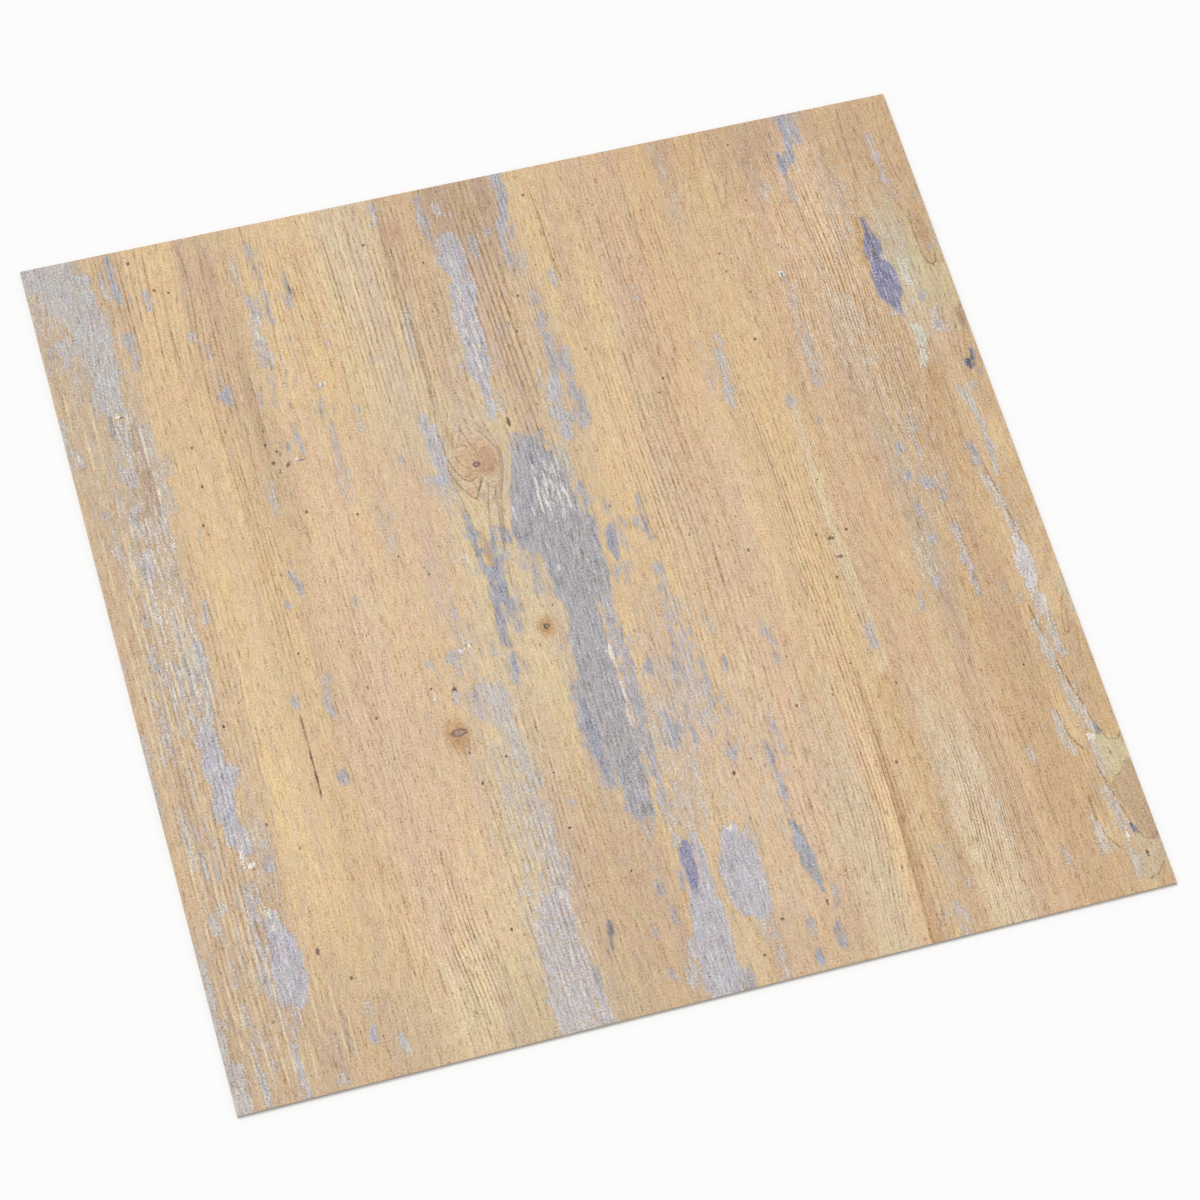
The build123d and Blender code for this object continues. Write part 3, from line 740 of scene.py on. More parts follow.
# The paint to the right of it.
RIGHT_HALF = (
    (STEEL, .92, ((153, 112, 117), (148, 112, 116.5), (144, 113, 115.8), (140, 112.5, 114.8),
     (136, 112, 114.6), (133, 111, 113.5))),
    (DOVE, .85, ((153, 116, 120), (148, 115.5, 119.8), (144, 116.3, 119), (140, 117, 118))),
    (BLUE, 1, ((138, 109, 109.6), (136, 108.4, 110.6), (133, 107.9, 111), (130, 108.2, 110.6),
     (127, 108.6, 109.5))),
    (DOVE, .5, ((126, 109, 110), (121, 108.5, 110.5), (117.5, 109.5, 110.5))),
    (MIST, .5, ((128.5, 100.3, 101.5), (125, 99, 101.3), (121, 99.5, 101))),
    (VIOLET, 1, ((105, 129.4, 130.5), (103, 129, 130.9), (100, 128.7, 131.2), (98, 128.2, 132.2),
     (96.5, 127.1, 133.2), (94, 127, 132.9), (91, 126.8, 132), (89.4, 126.8, 131.4), (88, 126.7, 133.4),
     (84, 126.5, 134.3), (80, 126.1, 135), (78, 125.6, 134.9), (76, 125.7, 134.5), (74.5, 126.5, 133.8),
     (72, 127.9, 132.8), (70, 129.3, 132.3), (68, 130.5, 132), (66.5, 131.2, 131.8))),
    fleck(DUSK, .8, 130, 105, 98, 1), fleck(FROST, .9, 131.9, 90.2, 88.2, .7),
    fleck(DUSK, .8, 129.6, 97, 88, 1.2), fleck(STEEL, .9, 128.6, 78, 73, 1.4),
    fleck(STEEL, .9, 131.4, 72, 67, 1),
    (MOSS, .8, ((89, 137, 139.5), (86, 135.8, 139.8), (82, 135.8, 139), (78, 136.5, 139.5),
     (75, 137.8, 139.5))),
    *flecks(MIST, .8, 1.1, (136.2, 72, 69), (128.5, 68, 66)), fleck(DOVE, .8, 140.3, 73, 70),
    (ICE, .9, ((66, 141.5, 143.3), (62, 141, 143.2), (59, 141.3, 144), (57, 142, 145))),
    (MOSS, .9, ((62, 134, 136.5), (57, 133, 136.5), (52, 132.8, 136), (48, 132.6, 134.5),
     (45.5, 133, 134))),
    (LAVENDER, .66, ((138, 141.5, 142.8), (131, 141, 143.5), (122, 141, 143), (112, 141.8, 142.8)), .6),
    fleck(DOVE, .9, 150.2, 111, 109), fleck(STEEL, 1, 149.4, 90.6, 88.6, 1.5),
    (ICE, .7, ((97, 151.9, 153), (92, 151.9, 153))), fleck(CHALK, 1, 96.3, 92.4, 90.4, 2.2),
    fleck(DUSK, .9, 96.4, 91.4, 90.6, .9), fleck(STEEL, .9, 142.4, 61, 57.4, 1.6),
    (MIST, .5, ((85, 97.5, 98.7), (82, 96.2, 98.5), (78, 95.8, 98), (72, 95.7, 97.7), (66, 95.5, 98),
     (58, 95, 98.5), (50, 94.5, 98.5)), 1),
    (MIST, .35, ((77, 112, 116), (70, 110.5, 116.5), (62, 110.5, 117), (52, 111, 116)), 1),
    (MIST, .75, ((73, 68, 68.7), (70, 66.6, 68.6), (64, 66.4, 68), (60, 65.7, 67.3), (56, 65.2, 66.6),
     (54, 65.2, 67.4), (50.5, 64.8, 66.4), (46.5, 64.7, 65.6))),
    (MIST, .3, ((72, 60, 62), (50, 60, 62)), 1), (MIST, .25, ((152, 66, 70), (120, 66, 70)), 1),
    (MIST, .25, ((108, 134, 142), (88, 134, 142)), 1), (MIST, .25, ((132, 120, 129), (98, 120, 129)), 1),
    (DOVE, .85, ((45.5, 84.4, 85.6), (43.5, 83.8, 86.1), (41.5, 84.3, 85.8))),
    fleck(DOVE, .8, 91.5, 35, 33), (DOVE, .8, ((53, 94, 95.5), (48, 94.5, 96))),
    (ICE, 1, ((37, 140.6, 141.6), (33, 140.8, 142.6), (31, 141.3, 144), (29, 142.4, 144.6),
     (24, 142.9, 145.3), (20, 143.4, 145.6), (15, 143.4, 145.4), (10, 143, 145.4), (5, 143, 144.8),
     (0, 142.7, 144.3))),
    (ICE, .9, ((35.5, 144, 146), (32, 144, 146))),
    (DUSK, .97, ((47.6, 149.7, 150.5), (46, 148.9, 150.6), (44.8, 148.5, 150), (44, 148.9, 149.6))),
    (DUSK, 1, ((44.2, 147, 148.4), (42.4, 146.6, 149), (41, 147.4, 148.6))), fleck(VIOLET, .9, 150, 42, 40),
    (DOVE, .8, ((14, 137.3, 139), (10, 137.8, 139.7), (7, 137.7, 140), (4.3, 138.5, 139.8))),
    (ICE, .9, ((3, 138.3, 139.8), (-4, 138.4, 140.6), (-7, 138.7, 141), (-10, 139.5, 142))),
    (ICE, .8, ((-8, 139.3, 141.5), (-14, 140.6, 142.6), (-18, 141, 143), (-22, 141, 143))),
    (FROST, 1, ((-22, 141, 143), (-26, 140.6, 144), (-29, 139.4, 144.6), (-32, 138.3, 145),
     (-36, 139, 144.7), (-40, 139.6, 144.3), (-42.5, 139.6, 143))),
    (FROST, .93, ((-43, 140.3, 143), (-47, 140.3, 144.5), (-52, 141, 143.5), (-55, 141.5, 142.5))),
    (MIST, .45, ((-42, 132.5, 135), (-46, 135, 137))),
    (MIST, .6, ((27.5, 119.5, 122.5), (23, 119.3, 122.8))), (DOVE, .95, ((19, 114, 116), (16, 114, 116))),
    fleck(LAVENDER, .7, 121.5, 18, 8, .9), (DOVE, .9, ((8.3, 113.2, 115), (5.8, 113, 115))),
    (LAVENDER, .9, ((4.2, 118, 122.8), (.8, 118.2, 122.5))),
    (DOVE, .9, ((3, 125, 126.5), (0, 125.2, 126.8))), (DOVE, .9, ((-1, 123, 124), (-4, 123.2, 124))),
    (DOVE, .9, ((-4.8, 113, 114.6), (-9, 113.2, 114.8))),
    (DOVE, .9, ((-17, 114, 115.4), (-19.2, 114, 115.2))),
    (LAVENDER, .8, ((-12, 123.4, 124.3), (-38, 122.8, 123.8))),
    *flecks(MIST, .5, 1, (121.2, -97, -103), (121.5, -132, -138)),
    (DOVE, .8, ((-30.5, 111.5, 112.5), (-32, 109.8, 112.3), (-33.8, 110.3, 112))),
    (MOSS, .4, ((-14, 109, 113), (-22, 108, 113), (-31, 107.5, 112.5)), 1),
    (DOVE, .6, ((-34, 104.7, 105.8), (-38, 103.5, 105), (-41, 102.8, 104))),
    (DOVE, .8, ((-41, 85, 86), (-45, 82, 86), (-47, 84, 85.7), (-50, 84, 85.5))),
    (DOVE, .9, ((-32.5, 50.8, 52.3), (-35, 49.9, 52), (-37, 49.9, 51.5))), fleck(DOVE, .5, 52, -37, -47),
    (ICE, .95, ((-55, 142, 143.5), (-58, 141.3, 144.3), (-62, 141.8, 144), (-66, 141.5, 144.3),
     (-67.8, 142, 145))),
    (ICE, .85, ((-54, 137.3, 138.5), (-58, 137, 139), (-62, 138, 139.5), (-66, 137.8, 140.2),
     (-69, 138.5, 140.4), (-73, 139.5, 140.6), (-76, 138.7, 141), (-80, 139.5, 141.8), (-84, 139.5, 142.3),
     (-87, 140.5, 144), (-91, 141.5, 143.5), (-93, 140.7, 144.5), (-95, 141.3, 144.5))),
    (ICE, .8, ((-99, 141.2, 143.3), (-103, 141, 143.8), (-107, 141.5, 143.5), (-111, 141.8, 143.5))),
    (ICE, .7, ((-116, 140, 141.5), (-119, 140, 143), (-122, 140.3, 143.8), (-125, 141, 144),
     (-128, 141, 144), (-129.5, 140.3, 145), (-131, 142, 145.8))),
    (ICE, .75, ((-136, 141.5, 143.5), (-140, 141, 143.8), (-145, 141, 144), (-148, 141.5, 145))),
    *flecks(CHALK, 1, 2.2, (142.5, -96.3, -98.8), (142.7, -132.3, -134.8)),
    (DUSK, .97, ((-93.5, 144.5, 145.5), (-95, 144.7, 146.1), (-97, 145.4, 146.3))),
    (DUSK, .97, ((-129.5, 144.5, 145.5), (-131.3, 144.7, 146.1), (-133.2, 145.4, 146.3))),
    (ICE, .75, ((-87, 133.9, 134.5), (-90, 133, 134.8), (-95, 132.4, 135), (-99, 133, 136),
     (-101, 134.4, 136.5))),
    (ICE, .75, ((-123, 133.4, 134.2), (-128, 132.8, 135), (-133, 132.6, 135.3), (-136, 133.6, 136.6))),
    (MIST, .3, ((-122, 81.7, 84.5), (-130, 81.7, 84.5))),
    (LAVENDER, .45, ((-142, 81, 83.5), (-153, 81, 83.5))),
    *flecks(ICE, .5, 1.1, (104.5, -117, -119), (106, -112, -114), (105.3, -133, -135), (106, -124, -126),
     (88, -134, -136), (51.5, -111, -113), (78.5, -142, -144)),
    fleck(MIST, .5, 57, -95, -97), (MIST, .35, ((-95, 90, 96), (-99, 90, 96)), 1),
)

REMNANTS = tuple(Remnant(*row) for row in LEFT_EDGE + LEFT_HALF + MIDDLE + RIGHT_HALF)

# Soft regions of the wood: tone, x and y of the centre, reach across and along, and weight.
ZONES = tuple(Zone(*row) for row in (
    (UMBER, -90, 82, 2.2, 30, 1.6), (UMBER, -90.5, 134, 2, 12, .9), (ASH, -139, 110, 12, 60),
    (CLAY, -140, 10, 11, 60), (CLAY, -139, -100, 12, 60), (HONEY, -113, 90, 7, 80, 1.4),
    (STRAW, -112, -30, 8, 70), (TAN, -112, -125, 8, 40), (CLAY, -97, 105, 6, 45, 1.4), (TAN, -97, 0, 8, 50),
    (TAN, -94, -90, 11, 50, 1.2), (CLAY, -86, 53, 5, 18, 4), (TAN, -86, 120, 5, 30),
    (BLUSH, -82, -40, 9, 50), (HONEY, -64, 110, 14, 45), (BLUSH, -70, 10, 14, 60, 1.4),
    (SAND, -70, -130, 14, 25, .8), (STRAW, -82, -125, 8, 25, .6), (BLUSH, -66, -70, 12, 45, 1.2),
    (SAND, -46, 118, 8, 42, 1.8), (BLUSH, -46, 12, 7, 26, 1.4), (HONEY, -53, -30, 7, 22, 1.2),
    (SAND, -45, -90, 8, 60, .8), (CLAY, -29, 108, 7, 45, 1.6), (SAND, -35, 100, 4, 45, 1.2),
    (UMBER, -3, 141, 7, 18, 4), (CLAY, -4, 90, 8, 30), (HONEY, 25, 55, 10, 70, 1.3), (TAN, 25, 125, 12, 30),
    (CLAY, -21, -110, 11, 45, 2.2), (BLUSH, 20, -50, 12, 40), (TAN, 10, -120, 12, 30),
    (ROSE, 42, 28, 7, 40, 1.3), (ROSE, 48, 115, 14, 45, 1.2), (BLUSH, 44, -70, 12, 50),
    (BLUSH, 33, -125, 9, 28), (SAND, 58, -112, 7, 40, 1.4), (SAND, -30, -45, 9, 35, 1.5),
    (ASH, -56, -141, 18, 11, .8), (CLAY, 34, -140, 16, 12, 1.2), (CLAY, 74, -141, 6, 10),
    (UMBER, -148, -135, 4, 24, 1.5), (CLAY, -147, -25, 4, 40, 1.5), (SAND, 13, -140, 4, 14),
    (SAND, 12, 60, 5, 70, .7), (CLAY, 12, 60, 5, 70, .7), (TAN, -120, 20, 4, 50), (BLUSH, 58, 10, 8, 40),
    (TAN, 71, 10, 6, 60, 1.6), (TAN, 78, 115, 9, 32), (TAN, 80, -115, 5, 40), (TOAST, 86, -105, 4, 50, 1.2),
    (ROSE, 98, 0, 8, 70, 1.4), (ROSE, 98, 110, 12, 40), (SAND, 97, -115, 8, 38, 1.8),
    (ASH, 114, 10, 6, 60, .5), (BLUSH, 116, 100, 9, 42, .6), (TOAST, 76, 144, 13, 10, 1.5),
    (TOAST, 128, 142, 9, 12), (SAND, 138, 70, 3, 10, 2), (TOAST, 127, 0, 8, 80, 2),
    (ROSE, 113, -112, 8, 45, 1.2), (TOAST, 130, -100, 9, 50, 1.8), (TAN, 148, 15, 7, 40),
    (TOAST, 146, 125, 9, 30), (REED, 139, 92, 4, 15, 3), (OLIVE, 146, 82, 5, 14, 3),
    (RUST, 133, 34, 3, 12, 1.5), (HONEY, 138, -95, 2.5, 8, 3), (HONEY, 138, -131, 2.5, 6, 3),
    (TAN, 136, -20, 4, 30), (CLAY, -122, 140, 6, 18, 2.5), (CLAY, -118, -140, 12, 20, 3.4),
    (ASH, -90, -142, 12, 16, .8), (ASH, -27, -142, 7, 16, 1.6), (STRAW, 25, 46, 5, 18, 2),
    (SAND, -31, 50, 12, 45, 1.2), (SAND, -14, -10, 6, 60, 2), (BLUSH, 37, 0, 7, 90, 1),
    (UMBER, 98, 145, 8, 14, 1.6), (TAN, 62, -45, 7, 20, 1), (BLUSH, 70, -110, 3, 40, 1.5),
    (SAND, 64, -110, 3, 40, 1.5), (SAND, 38, 0, 5, 110, .8), (ROSE, 38, -15, 5, 16, 2.2),
))

# Regions with a crisp outline: stations of y, left and right x, and weight.
PATCHES = tuple(Patch(*row) for row in (
    (ROSE, ((-96, 107, 118), (-120, 106.6, 118), (-153, 106.2, 118)), .5),
    (RUST, ((-56, 74.9, 76.2), (-80, 73.8, 76.4), (-100, 73, 76.2), (-112, 72.2, 75.8), (-130, 71, 75),
     (-153, 69.8, 74.4)), .75),
    (SAND, ((45, 83.5, 86.5), (30, 83, 86), (20, 82.8, 86.5), (0, 82.5, 86), (-10, 82.5, 86), (-25, 81, 86),
     (-45, 80.5, 87), (-60, 80, 87)), .75),
    (TOAST, ((130, -153, -142), (126, -153, -140.5), (122.5, -153, -147)), .6),
    (RUST, ((46, 134, 136.3), (38, 133.5, 136), (33, 132, 134.5), (28, 130.5, 132.5)), .6),
    (TOAST, ((4, 140.8, 153), (-4, 141.6, 153), (-12, 142.9, 152), (-18, 143.7, 150), (-22, 144.8, 148.8),
     (-24, 146.2, 147.8)), .8),
    (TOAST, ((-22, 151.5, 153), (-30, 149.8, 153), (-35, 147, 150), (-38.5, 145, 149.3),
     (-40, 146, 148)), .8),
    (REED, ((-40, 149, 153), (-46, 149.5, 153), (-54, 150.5, 153)), .7),
    (RUST, ((-47, 149.4, 150.6), (-52, 148.6, 150), (-57, 147, 149.3), (-60, 146, 148.6)), .6),
    (TOAST, ((-48, 139.2, 140.4), (-60, 140, 153), (-68, 141, 153), (-75, 141.6, 153), (-82, 143, 153),
     (-88, 144.8, 153), (-95, 146, 153), (-98.5, 147.5, 153), (-100.3, 149, 153))),
    (REED, ((-92, 143.8, 145.2), (-98, 143.6, 146.8), (-101, 143.5, 153), (-107, 143.5, 152.5),
     (-110, 143.8, 149.5), (-113, 144, 146.5))),
    (UMBER, ((-108, 151.5, 153), (-112, 148, 153), (-115, 143, 153), (-121, 144, 153), (-127, 145.2, 153),
     (-133, 146.8, 153), (-136.3, 149, 153))),
    (ASH, ((-129, 144, 145), (-134, 144, 146.6), (-137, 144, 153), (-143, 144, 152.5), (-146, 144, 150.5),
     (-150, 144.5, 147.5))),
    (TOAST, ((-144, 152, 153), (-148, 149, 153), (-153, 147, 153))),
    (TOAST, ((105, 146.3, 150), (100, 145.7, 151), (95, 146, 151), (88, 145.8, 150.3), (84.5, 146.5, 149.5),
     (83, 147.5, 148.8)), .9),
    (UMBER, ((66, 149, 153), (60, 149.5, 153), (56, 150, 153)), .8),
    (TOAST, ((56, 146, 153), (46, 143, 153), (36, 146, 153), (22, 146.5, 153)), .7),
    (RUST, ((107, 127.2, 128.7), (98, 125.3, 127.3), (88, 124.2, 125.9)), 1),
))

# Where the grain leans.
SLANTS = (
    Slant(Area(-72, -125, 11, 34), .11), Slant(Area(100, -120, 9, 36), -.085),
    Slant(Area(63, -125, 8, 34), -.08), Slant(Area(-98, 120, 10, 30), -.02),
    Slant(Area(124, -30, 6, 24), -.1), Slant(Area(-10, 100, 10, 40), .02),
)

# How far apart the growth lines lie, in millimetres, at some places across the board.
PITCHES = (
    (-153, 1.6), (-130, 1.5), (-112, 2.0), (-97, 1.5), (-80, 1.3), (-62, 1.3), (-58, 1.8), (-38, 1.9),
    (-30, 1.6), (-20, 1.6), (-10, 1.8), (6, 1.8), (12, 1.6), (40, 1.5), (60, 1.35), (80, 1.35), (84, 1.1),
    (90, .98), (106, .98), (112, 1.05), (125, 1.1), (130, 1.3), (153, 1.5),
)

# Where the growth lines are strong.
LINED = tuple(Area(*row) for row in (
    (-110, 120, 16, 40, .35), (-97, 105, 8, 50, .7), (-75, -20, 8, 90, .5), (-70, -125, 9, 28, 1.2),
    (-50, 115, 10, 45, 1.0), (-30, 105, 12, 50, 1.0), (-2, 100, 9, 55, 1.4), (40, 30, 10, 40, .8),
    (72, 5, 6, 60, .8), (84, 0, 6, 60, .6), (98, 20, 10, 80, .6), (120, 60, 10, 60, 1.1),
    (108, 105, 14, 45, .9), (99, -118, 9, 34, 1.3), (138, -90, 10, 60, .5), (64, -110, 9, 45, .7),
    (78, -110, 7, 40, .6), (-42, -100, 14, 60, .8), (-25, -85, 9, 25, .5), (50, 110, 16, 40, .7),
    (-138, -60, 12, 90, .9), (28, 30, 6, 60, .8), (113, -90, 7, 50, .8), (5, -50, 26, 40, .5),
    (-92, -105, 8, 48, .5), (-98, 15, 6, 55, .7), (-120, 0, 5, 60, .6), (45, -60, 14, 60, .5),
    (72, -60, 5, 80, .7), (140, 60, 10, 60, .5), (-120, 135, 6, 25, .8), (-4, 20, 10, 40, .5),
    (-72, 120, 8, 35, .8), (12, 120, 8, 30, .7),
))

# Where small glints off the pressed film are painted white into its colour.
PAINTED_GLINTS = tuple(Area(*row) for row in (
    (112, 90, 20, 55, 1.0), (99, -112, 9, 40, 1.0), (122, 20, 10, 60, .5), (25, 110, 20, 40, .4),
    (-135, 20, 10, 120, .5), (-42, -100, 10, 60, .6), (-72, -125, 10, 30, .8), (12, -75, 14, 30, .6),
    (84, 10, 4, 40, .6), (-2, 30, 5, 9, 1.0), (-12, 95, 4, 22, .8), (-36, -120, 4, 30, .8),
    (-128, -70, 6, 40, .7), (2, -30, 6, 30, .5), (-133, 95, 6, 20, .6),
))

# Where the wood is mottled pink, green and grey.
MOTLEY = tuple(Area(*row) for row in (
    (-137, 0, 13, 200, 1.1), (-42, -95, 11, 70, 1.0), (-36, 45, 6, 40, 1.0), (14, -65, 14, 45, .9),
    (-3, 75, 16, 60, .5), (34, -60, 10, 70, .4), (114, 60, 12, 60, .35), (122, 15, 8, 40, .4),
    (143, -40, 6, 110, .5), (97, 65, 3, 22, .6), (66, 62, 4, 20, .6), (-78, 110, 8, 40, .7),
    (130, 110, 12, 40, .2), (83, -140, 4, 16, .8), (20, -130, 16, 30, .5), (-112, -60, 14, 100, .3),
    (-46, -15, 10, 30, .5), (60, -115, 6, 40, .15),
))

# Where crumbs of paint are left between the remnants.
DUST = tuple(Area(*row) for row in (
    (-136, 0, 16, 160, 1.0), (-80, 110, 14, 50, .6), (-30, 10, 26, 70, .8), (4, -10, 16, 60, .8),
    (10, 100, 20, 60, .7), (15, -100, 32, 55, .8), (-40, -100, 22, 60, .9), (115, 0, 14, 70, .35),
    (142, 0, 12, 150, .8), (115, 120, 22, 40, .5), (-98, 0, 12, 140, .4), (40, -110, 14, 50, .5),
))

# Where the knots' lines are fine: x and y of a box's centre, and half its width and height.
KNOT_BOXES = (
    (-24.5, 44, 9.5, 13), (-17, -17, 3, 4), (-54.5, -46.5, 4, 4), (146, -24, 6.5, 18),
    (145.5, -98, 7.5, 52), (147.5, 94, 4, 12),
)

# What the grain flows round: x, y, radius and stretch along the grain.
KNOTS = (
    Knot(-23.4, 45.2, 7.2, 1.5), Knot(-17, -17, 2.2, 1.6), Knot(-54.5, -46.5, 2.6, 1.3),
)

# Stains round the knots and the checks, and then the knots' own dark cores with a paler heart.
HALOS = tuple(Halo(*row) for row in (
    (-23, 48, 8, 8, 1.15, .6, .65, linear(204, 167, 129)),
    (-19.9, 46.2, 4.7, 6.3, 1.2, .5, .75, linear(187, 151, 119)),
    (-27, 42.3, 2.4, 1.8, 1.4, .3, .6, linear(196, 154, 120)),
    (-28, 36, 1.7, 1.9, 1.4, .3, .55, linear(204, 156, 112)),
    (-29.4, 57.5, 1.2, 6.5, 1.4, .3, .6, linear(186, 150, 112)),
    (-28.3, 13, 1.2, 9, 1.4, .3, .7, linear(192, 150, 104)),
    (-17, -17, 3.8, 4.6, 1.2, .3, .95, linear(190, 148, 101)),
    (-54.8, -47.5, 4.8, 7.2, 1.2, .4, .95, linear(190, 150, 106)),
    (-56.5, -45.5, 3.6, 1.8, 1.2, .3, .5, linear(205, 153, 106)),
    (-28.2, 138, 2.2, 4.5, 1.4, .2, .55, linear(190, 148, 118)),
    (148.8, 97, 2.1, 6.5, 1.3, .4, .65, linear(176, 143, 108)),
    (150.5, 60.5, 1.7, 4.4, 1.3, .3, .5, linear(156, 124, 96)),
))
CORES = tuple(Halo(*row) for row in (
    (-23.6, 45.6, 1.25, 1.1, 1.25, .8, .8, linear(100, 80, 82)),
    (-23.6, 45.6, 1.25, 1.1, .6, .3, .6, linear(192, 160, 138)),
    (-17, -17, 1, 1.1, 1.25, .8, .8, linear(100, 80, 82)),
    (-17, -17, 1, 1.1, .4, .1, .6, linear(192, 160, 138)),
    (-54.4, -46.4, 2.7, 1.35, 1.25, .8, .8, linear(100, 80, 82)),
    (-54.4, -46.4, 2.7, 1.35, .8, .5, .6, linear(192, 160, 138)),
))

# Dark specks, where the board's nail holes and checks are printed: x, y, width and height.
SPECKS = (
    (-111, 135, 1, 1.2), (-106.5, 133, 1, 1.2), (-117, 147, 1, 1.2), (-111.5, 115, .9, 1.5),
    (-112.5, 74, .9, 1.2), (-112.5, 59, .9, 1.2), (-89, 69, 1.1, 1.5), (-86, 66, 1, 1.4), (-88, 62, 1, 1.3),
    (-84, 60, .9, 1.2), (-78.5, 61, 2.5, .8), (-38.5, 135.5, 1, 1.4), (-88.5, 74.5, .7, 2.4),
    (-85.2, 64.2, .8, 2), (-83, 60.8, .8, 2.2), (-86.6, 58.4, .7, 2), (-89.7, 57.8, .7, 1.6),
    (-84.4, 68.9, 1.8, .7), (-81.9, 66, 1, 1.4), (-88.2, 80, .6, 2), (-87.2, 96.6, 1.6, .6),
    (-89.9, 103, .6, 2.4), (-20.8, 124, .9, 1.6), (-22.5, 105, .9, 1.6), (7.8, 121.5, 1, 1.4),
    (8.5, 114, .9, 1.3), (7, 104, .9, 1.3), (19.3, 142, 1, 1.3), (22, 125, .9, 1.3), (22.5, 115, .9, 1.3),
    (-9, 58.5, 1.1, 3), (43, 57, 1, 1.3), (3, 91, .9, 1.2), (45.5, 62, .9, 1.2), (23.5, 79, .9, 1.2),
    (-49, 10.5, 1, 1.2), (-50, 13, .9, 1.1), (16.5, 41, .9, 1.2), (14.8, 20, .9, 1.2), (37.5, 3.5, 1, 1.4),
    (-13, -10, 1, 1.4), (-51.5, -65, 1.1, 1.8), (26.8, -81.5, 1, 1.4), (33.3, -78, .9, 1.2),
    (-42, -58, 1, 1.3), (-28.8, -67, 1, 1.2), (-29, -86.5, 1, 1.2), (-14.3, -105.5, 1, 1.2),
    (-28.8, -107, 1, 1.2), (10.3, -93.5, 1, 1.2), (42.6, -131, .9, 3), (27, -133, .9, 1.2),
    (18, -143, .9, 1.2), (-135, 42, 1, 1.2), (-115.5, 45, 1, 1.2), (-114.5, 41.5, .9, 1.1),
    (-82, 42, 1, 1.3), (-140, -37.5, 1, 1.3), (-138.3, -10, 1, 1.2), (-136, -9, .9, 1.1),
    (-136.7, 27, 1, 1.2), (-139.7, 29, .9, 1.1), (-132, -36, 1, 1.2), (-126, -26, 1, 1.2),
    (-119.5, -19, .9, 1.2), (-111.5, -30, .9, 1.2), (-78.5, -24, 1, 1.2), (-78.5, -35, 1, 1.2),
    (-51.8, -31.7, 1.3, 2.2), (-59, -29.5, 1, 1.2), (-76.5, -50, .9, 1.2), (-97, -7, .9, 1.2),
    (-66, 37, 1, 1.2), (-57, 19, .9, 1.2), (-116, -107, 1.1, 2.6), (-134.8, -126, 1, 1.2),
    (-108, -118, 1, 1.3), (-103.3, -138.7, 1, 1.3), (-112.8, -72.3, .9, 1.2), (-119, -71, .9, 1.2),
    (-113.5, -59, .9, 1.2), (-97.3, -70, .9, 1.2), (-53, -54, .9, 1.6), (-121, -62, 1, 1.2),
    (-56, -115, .9, 1.2), (78, 104, 1, 1.2), (78.3, 96.7, 1, 1.2), (80, 69, .9, 1.2), (93, 122, .9, 1.2),
    (84.5, 13, 1, 1.2), (82.3, -8.7, 1, 1.3), (83.5, -16, 1.1, 1.5), (88, 6, .9, 1.2), (88.2, -7, .9, 1.2),
    (80, -23, 1, 1.3), (78, -6.5, .9, 1.2), (54.5, -6.5, 1, 1.3), (54, 6.5, .9, 1.2), (58, 33, .9, 1.2),
    (65.7, -63, .9, 1.2), (53.2, -63.8, .9, 1.2), (74.8, -53.8, .9, 1.2), (78.4, -90.7, 1, 1.2),
    (129.5, -68, 1.1, 1.2), (87, -64, .9, 1.2), (95, -122, .9, 1.2), (84, 87, 1, 1.3), (93.5, 145, 1, 1.3),
    (-129.6, 127, 1, 1.4), (-129.4, 122, 1, 1.2), (-129.5, 117, 1, 1.2), (-129.3, 113.5, 1, 1.2),
    (27.1, -84.4, .6, 1.8), (27.6, -93.6, .6, 2.2), (27.2, -97.6, .6, 1.4), (27.9, -104.6, .6, 2),
    (82.5, -9, 2.6, 1), (83, -16, 2.6, 1), (146.8, -104.5, .8, 2.2), (146.8, -140.5, .8, 2.2),
    (-50, -20, 1, .9), (-43, -17.2, 2.4, .8), (-46, -18.2, 3, .7), (-128.6, -75.4, 2.6, .8),
    (-132.5, 90.3, 2.2, .7), (-101.7, -31, .7, 4), (-101.7, -36, .6, 3), (-101.8, -43, .8, 6),
    (-101.9, -50, .8, 5), (-102, -55.5, .8, 3),
)

# Thin pale lines along the grain: x, top and low.
PALE_LINES = (
    (-148.4, 58, 20), (-147.4, 8, -40), (-143.2, 40, -4), (-141.2, 52, 22), (-142, 4, -30), (-138.9, 36, 6),
    (-136.9, 4, -34), (-140.4, -22, -58), (-137.8, -38, -70), (-145.6, -54, -90), (-141.9, -60, -100),
    (-139.7, -74, -112), (-137.2, -84, -128), (-139.4, -118, -152), (-135.2, -122, -152),
    (-145.8, -104, -140), (-128.9, -132, -150), (-125.6, -128, -152), (-121.6, -112, -136),
    (-119.2, -104, -130), (-115.6, -112, -148), (-112.6, -120, -150), (-126.2, -70, -84),
    (-126.2, 130, 104), (-141.4, 104, 74), (-144.8, 96, 62), (-148.6, 118, 84), (-134.7, -76, -112),
    (-149.4, 18, -60), (-145.3, 30, -20), (-140.2, 46, 20), (-133.9, 30, -20), (-131.4, 40, -8),
    (-129.9, 26, -24), (-127.6, 0, -26), (-143.6, -96, -150), (-124.4, -60, -70), (-147.6, -60, -100),
    (-132.2, -100, -150), (-148.8, -104, -128),
)

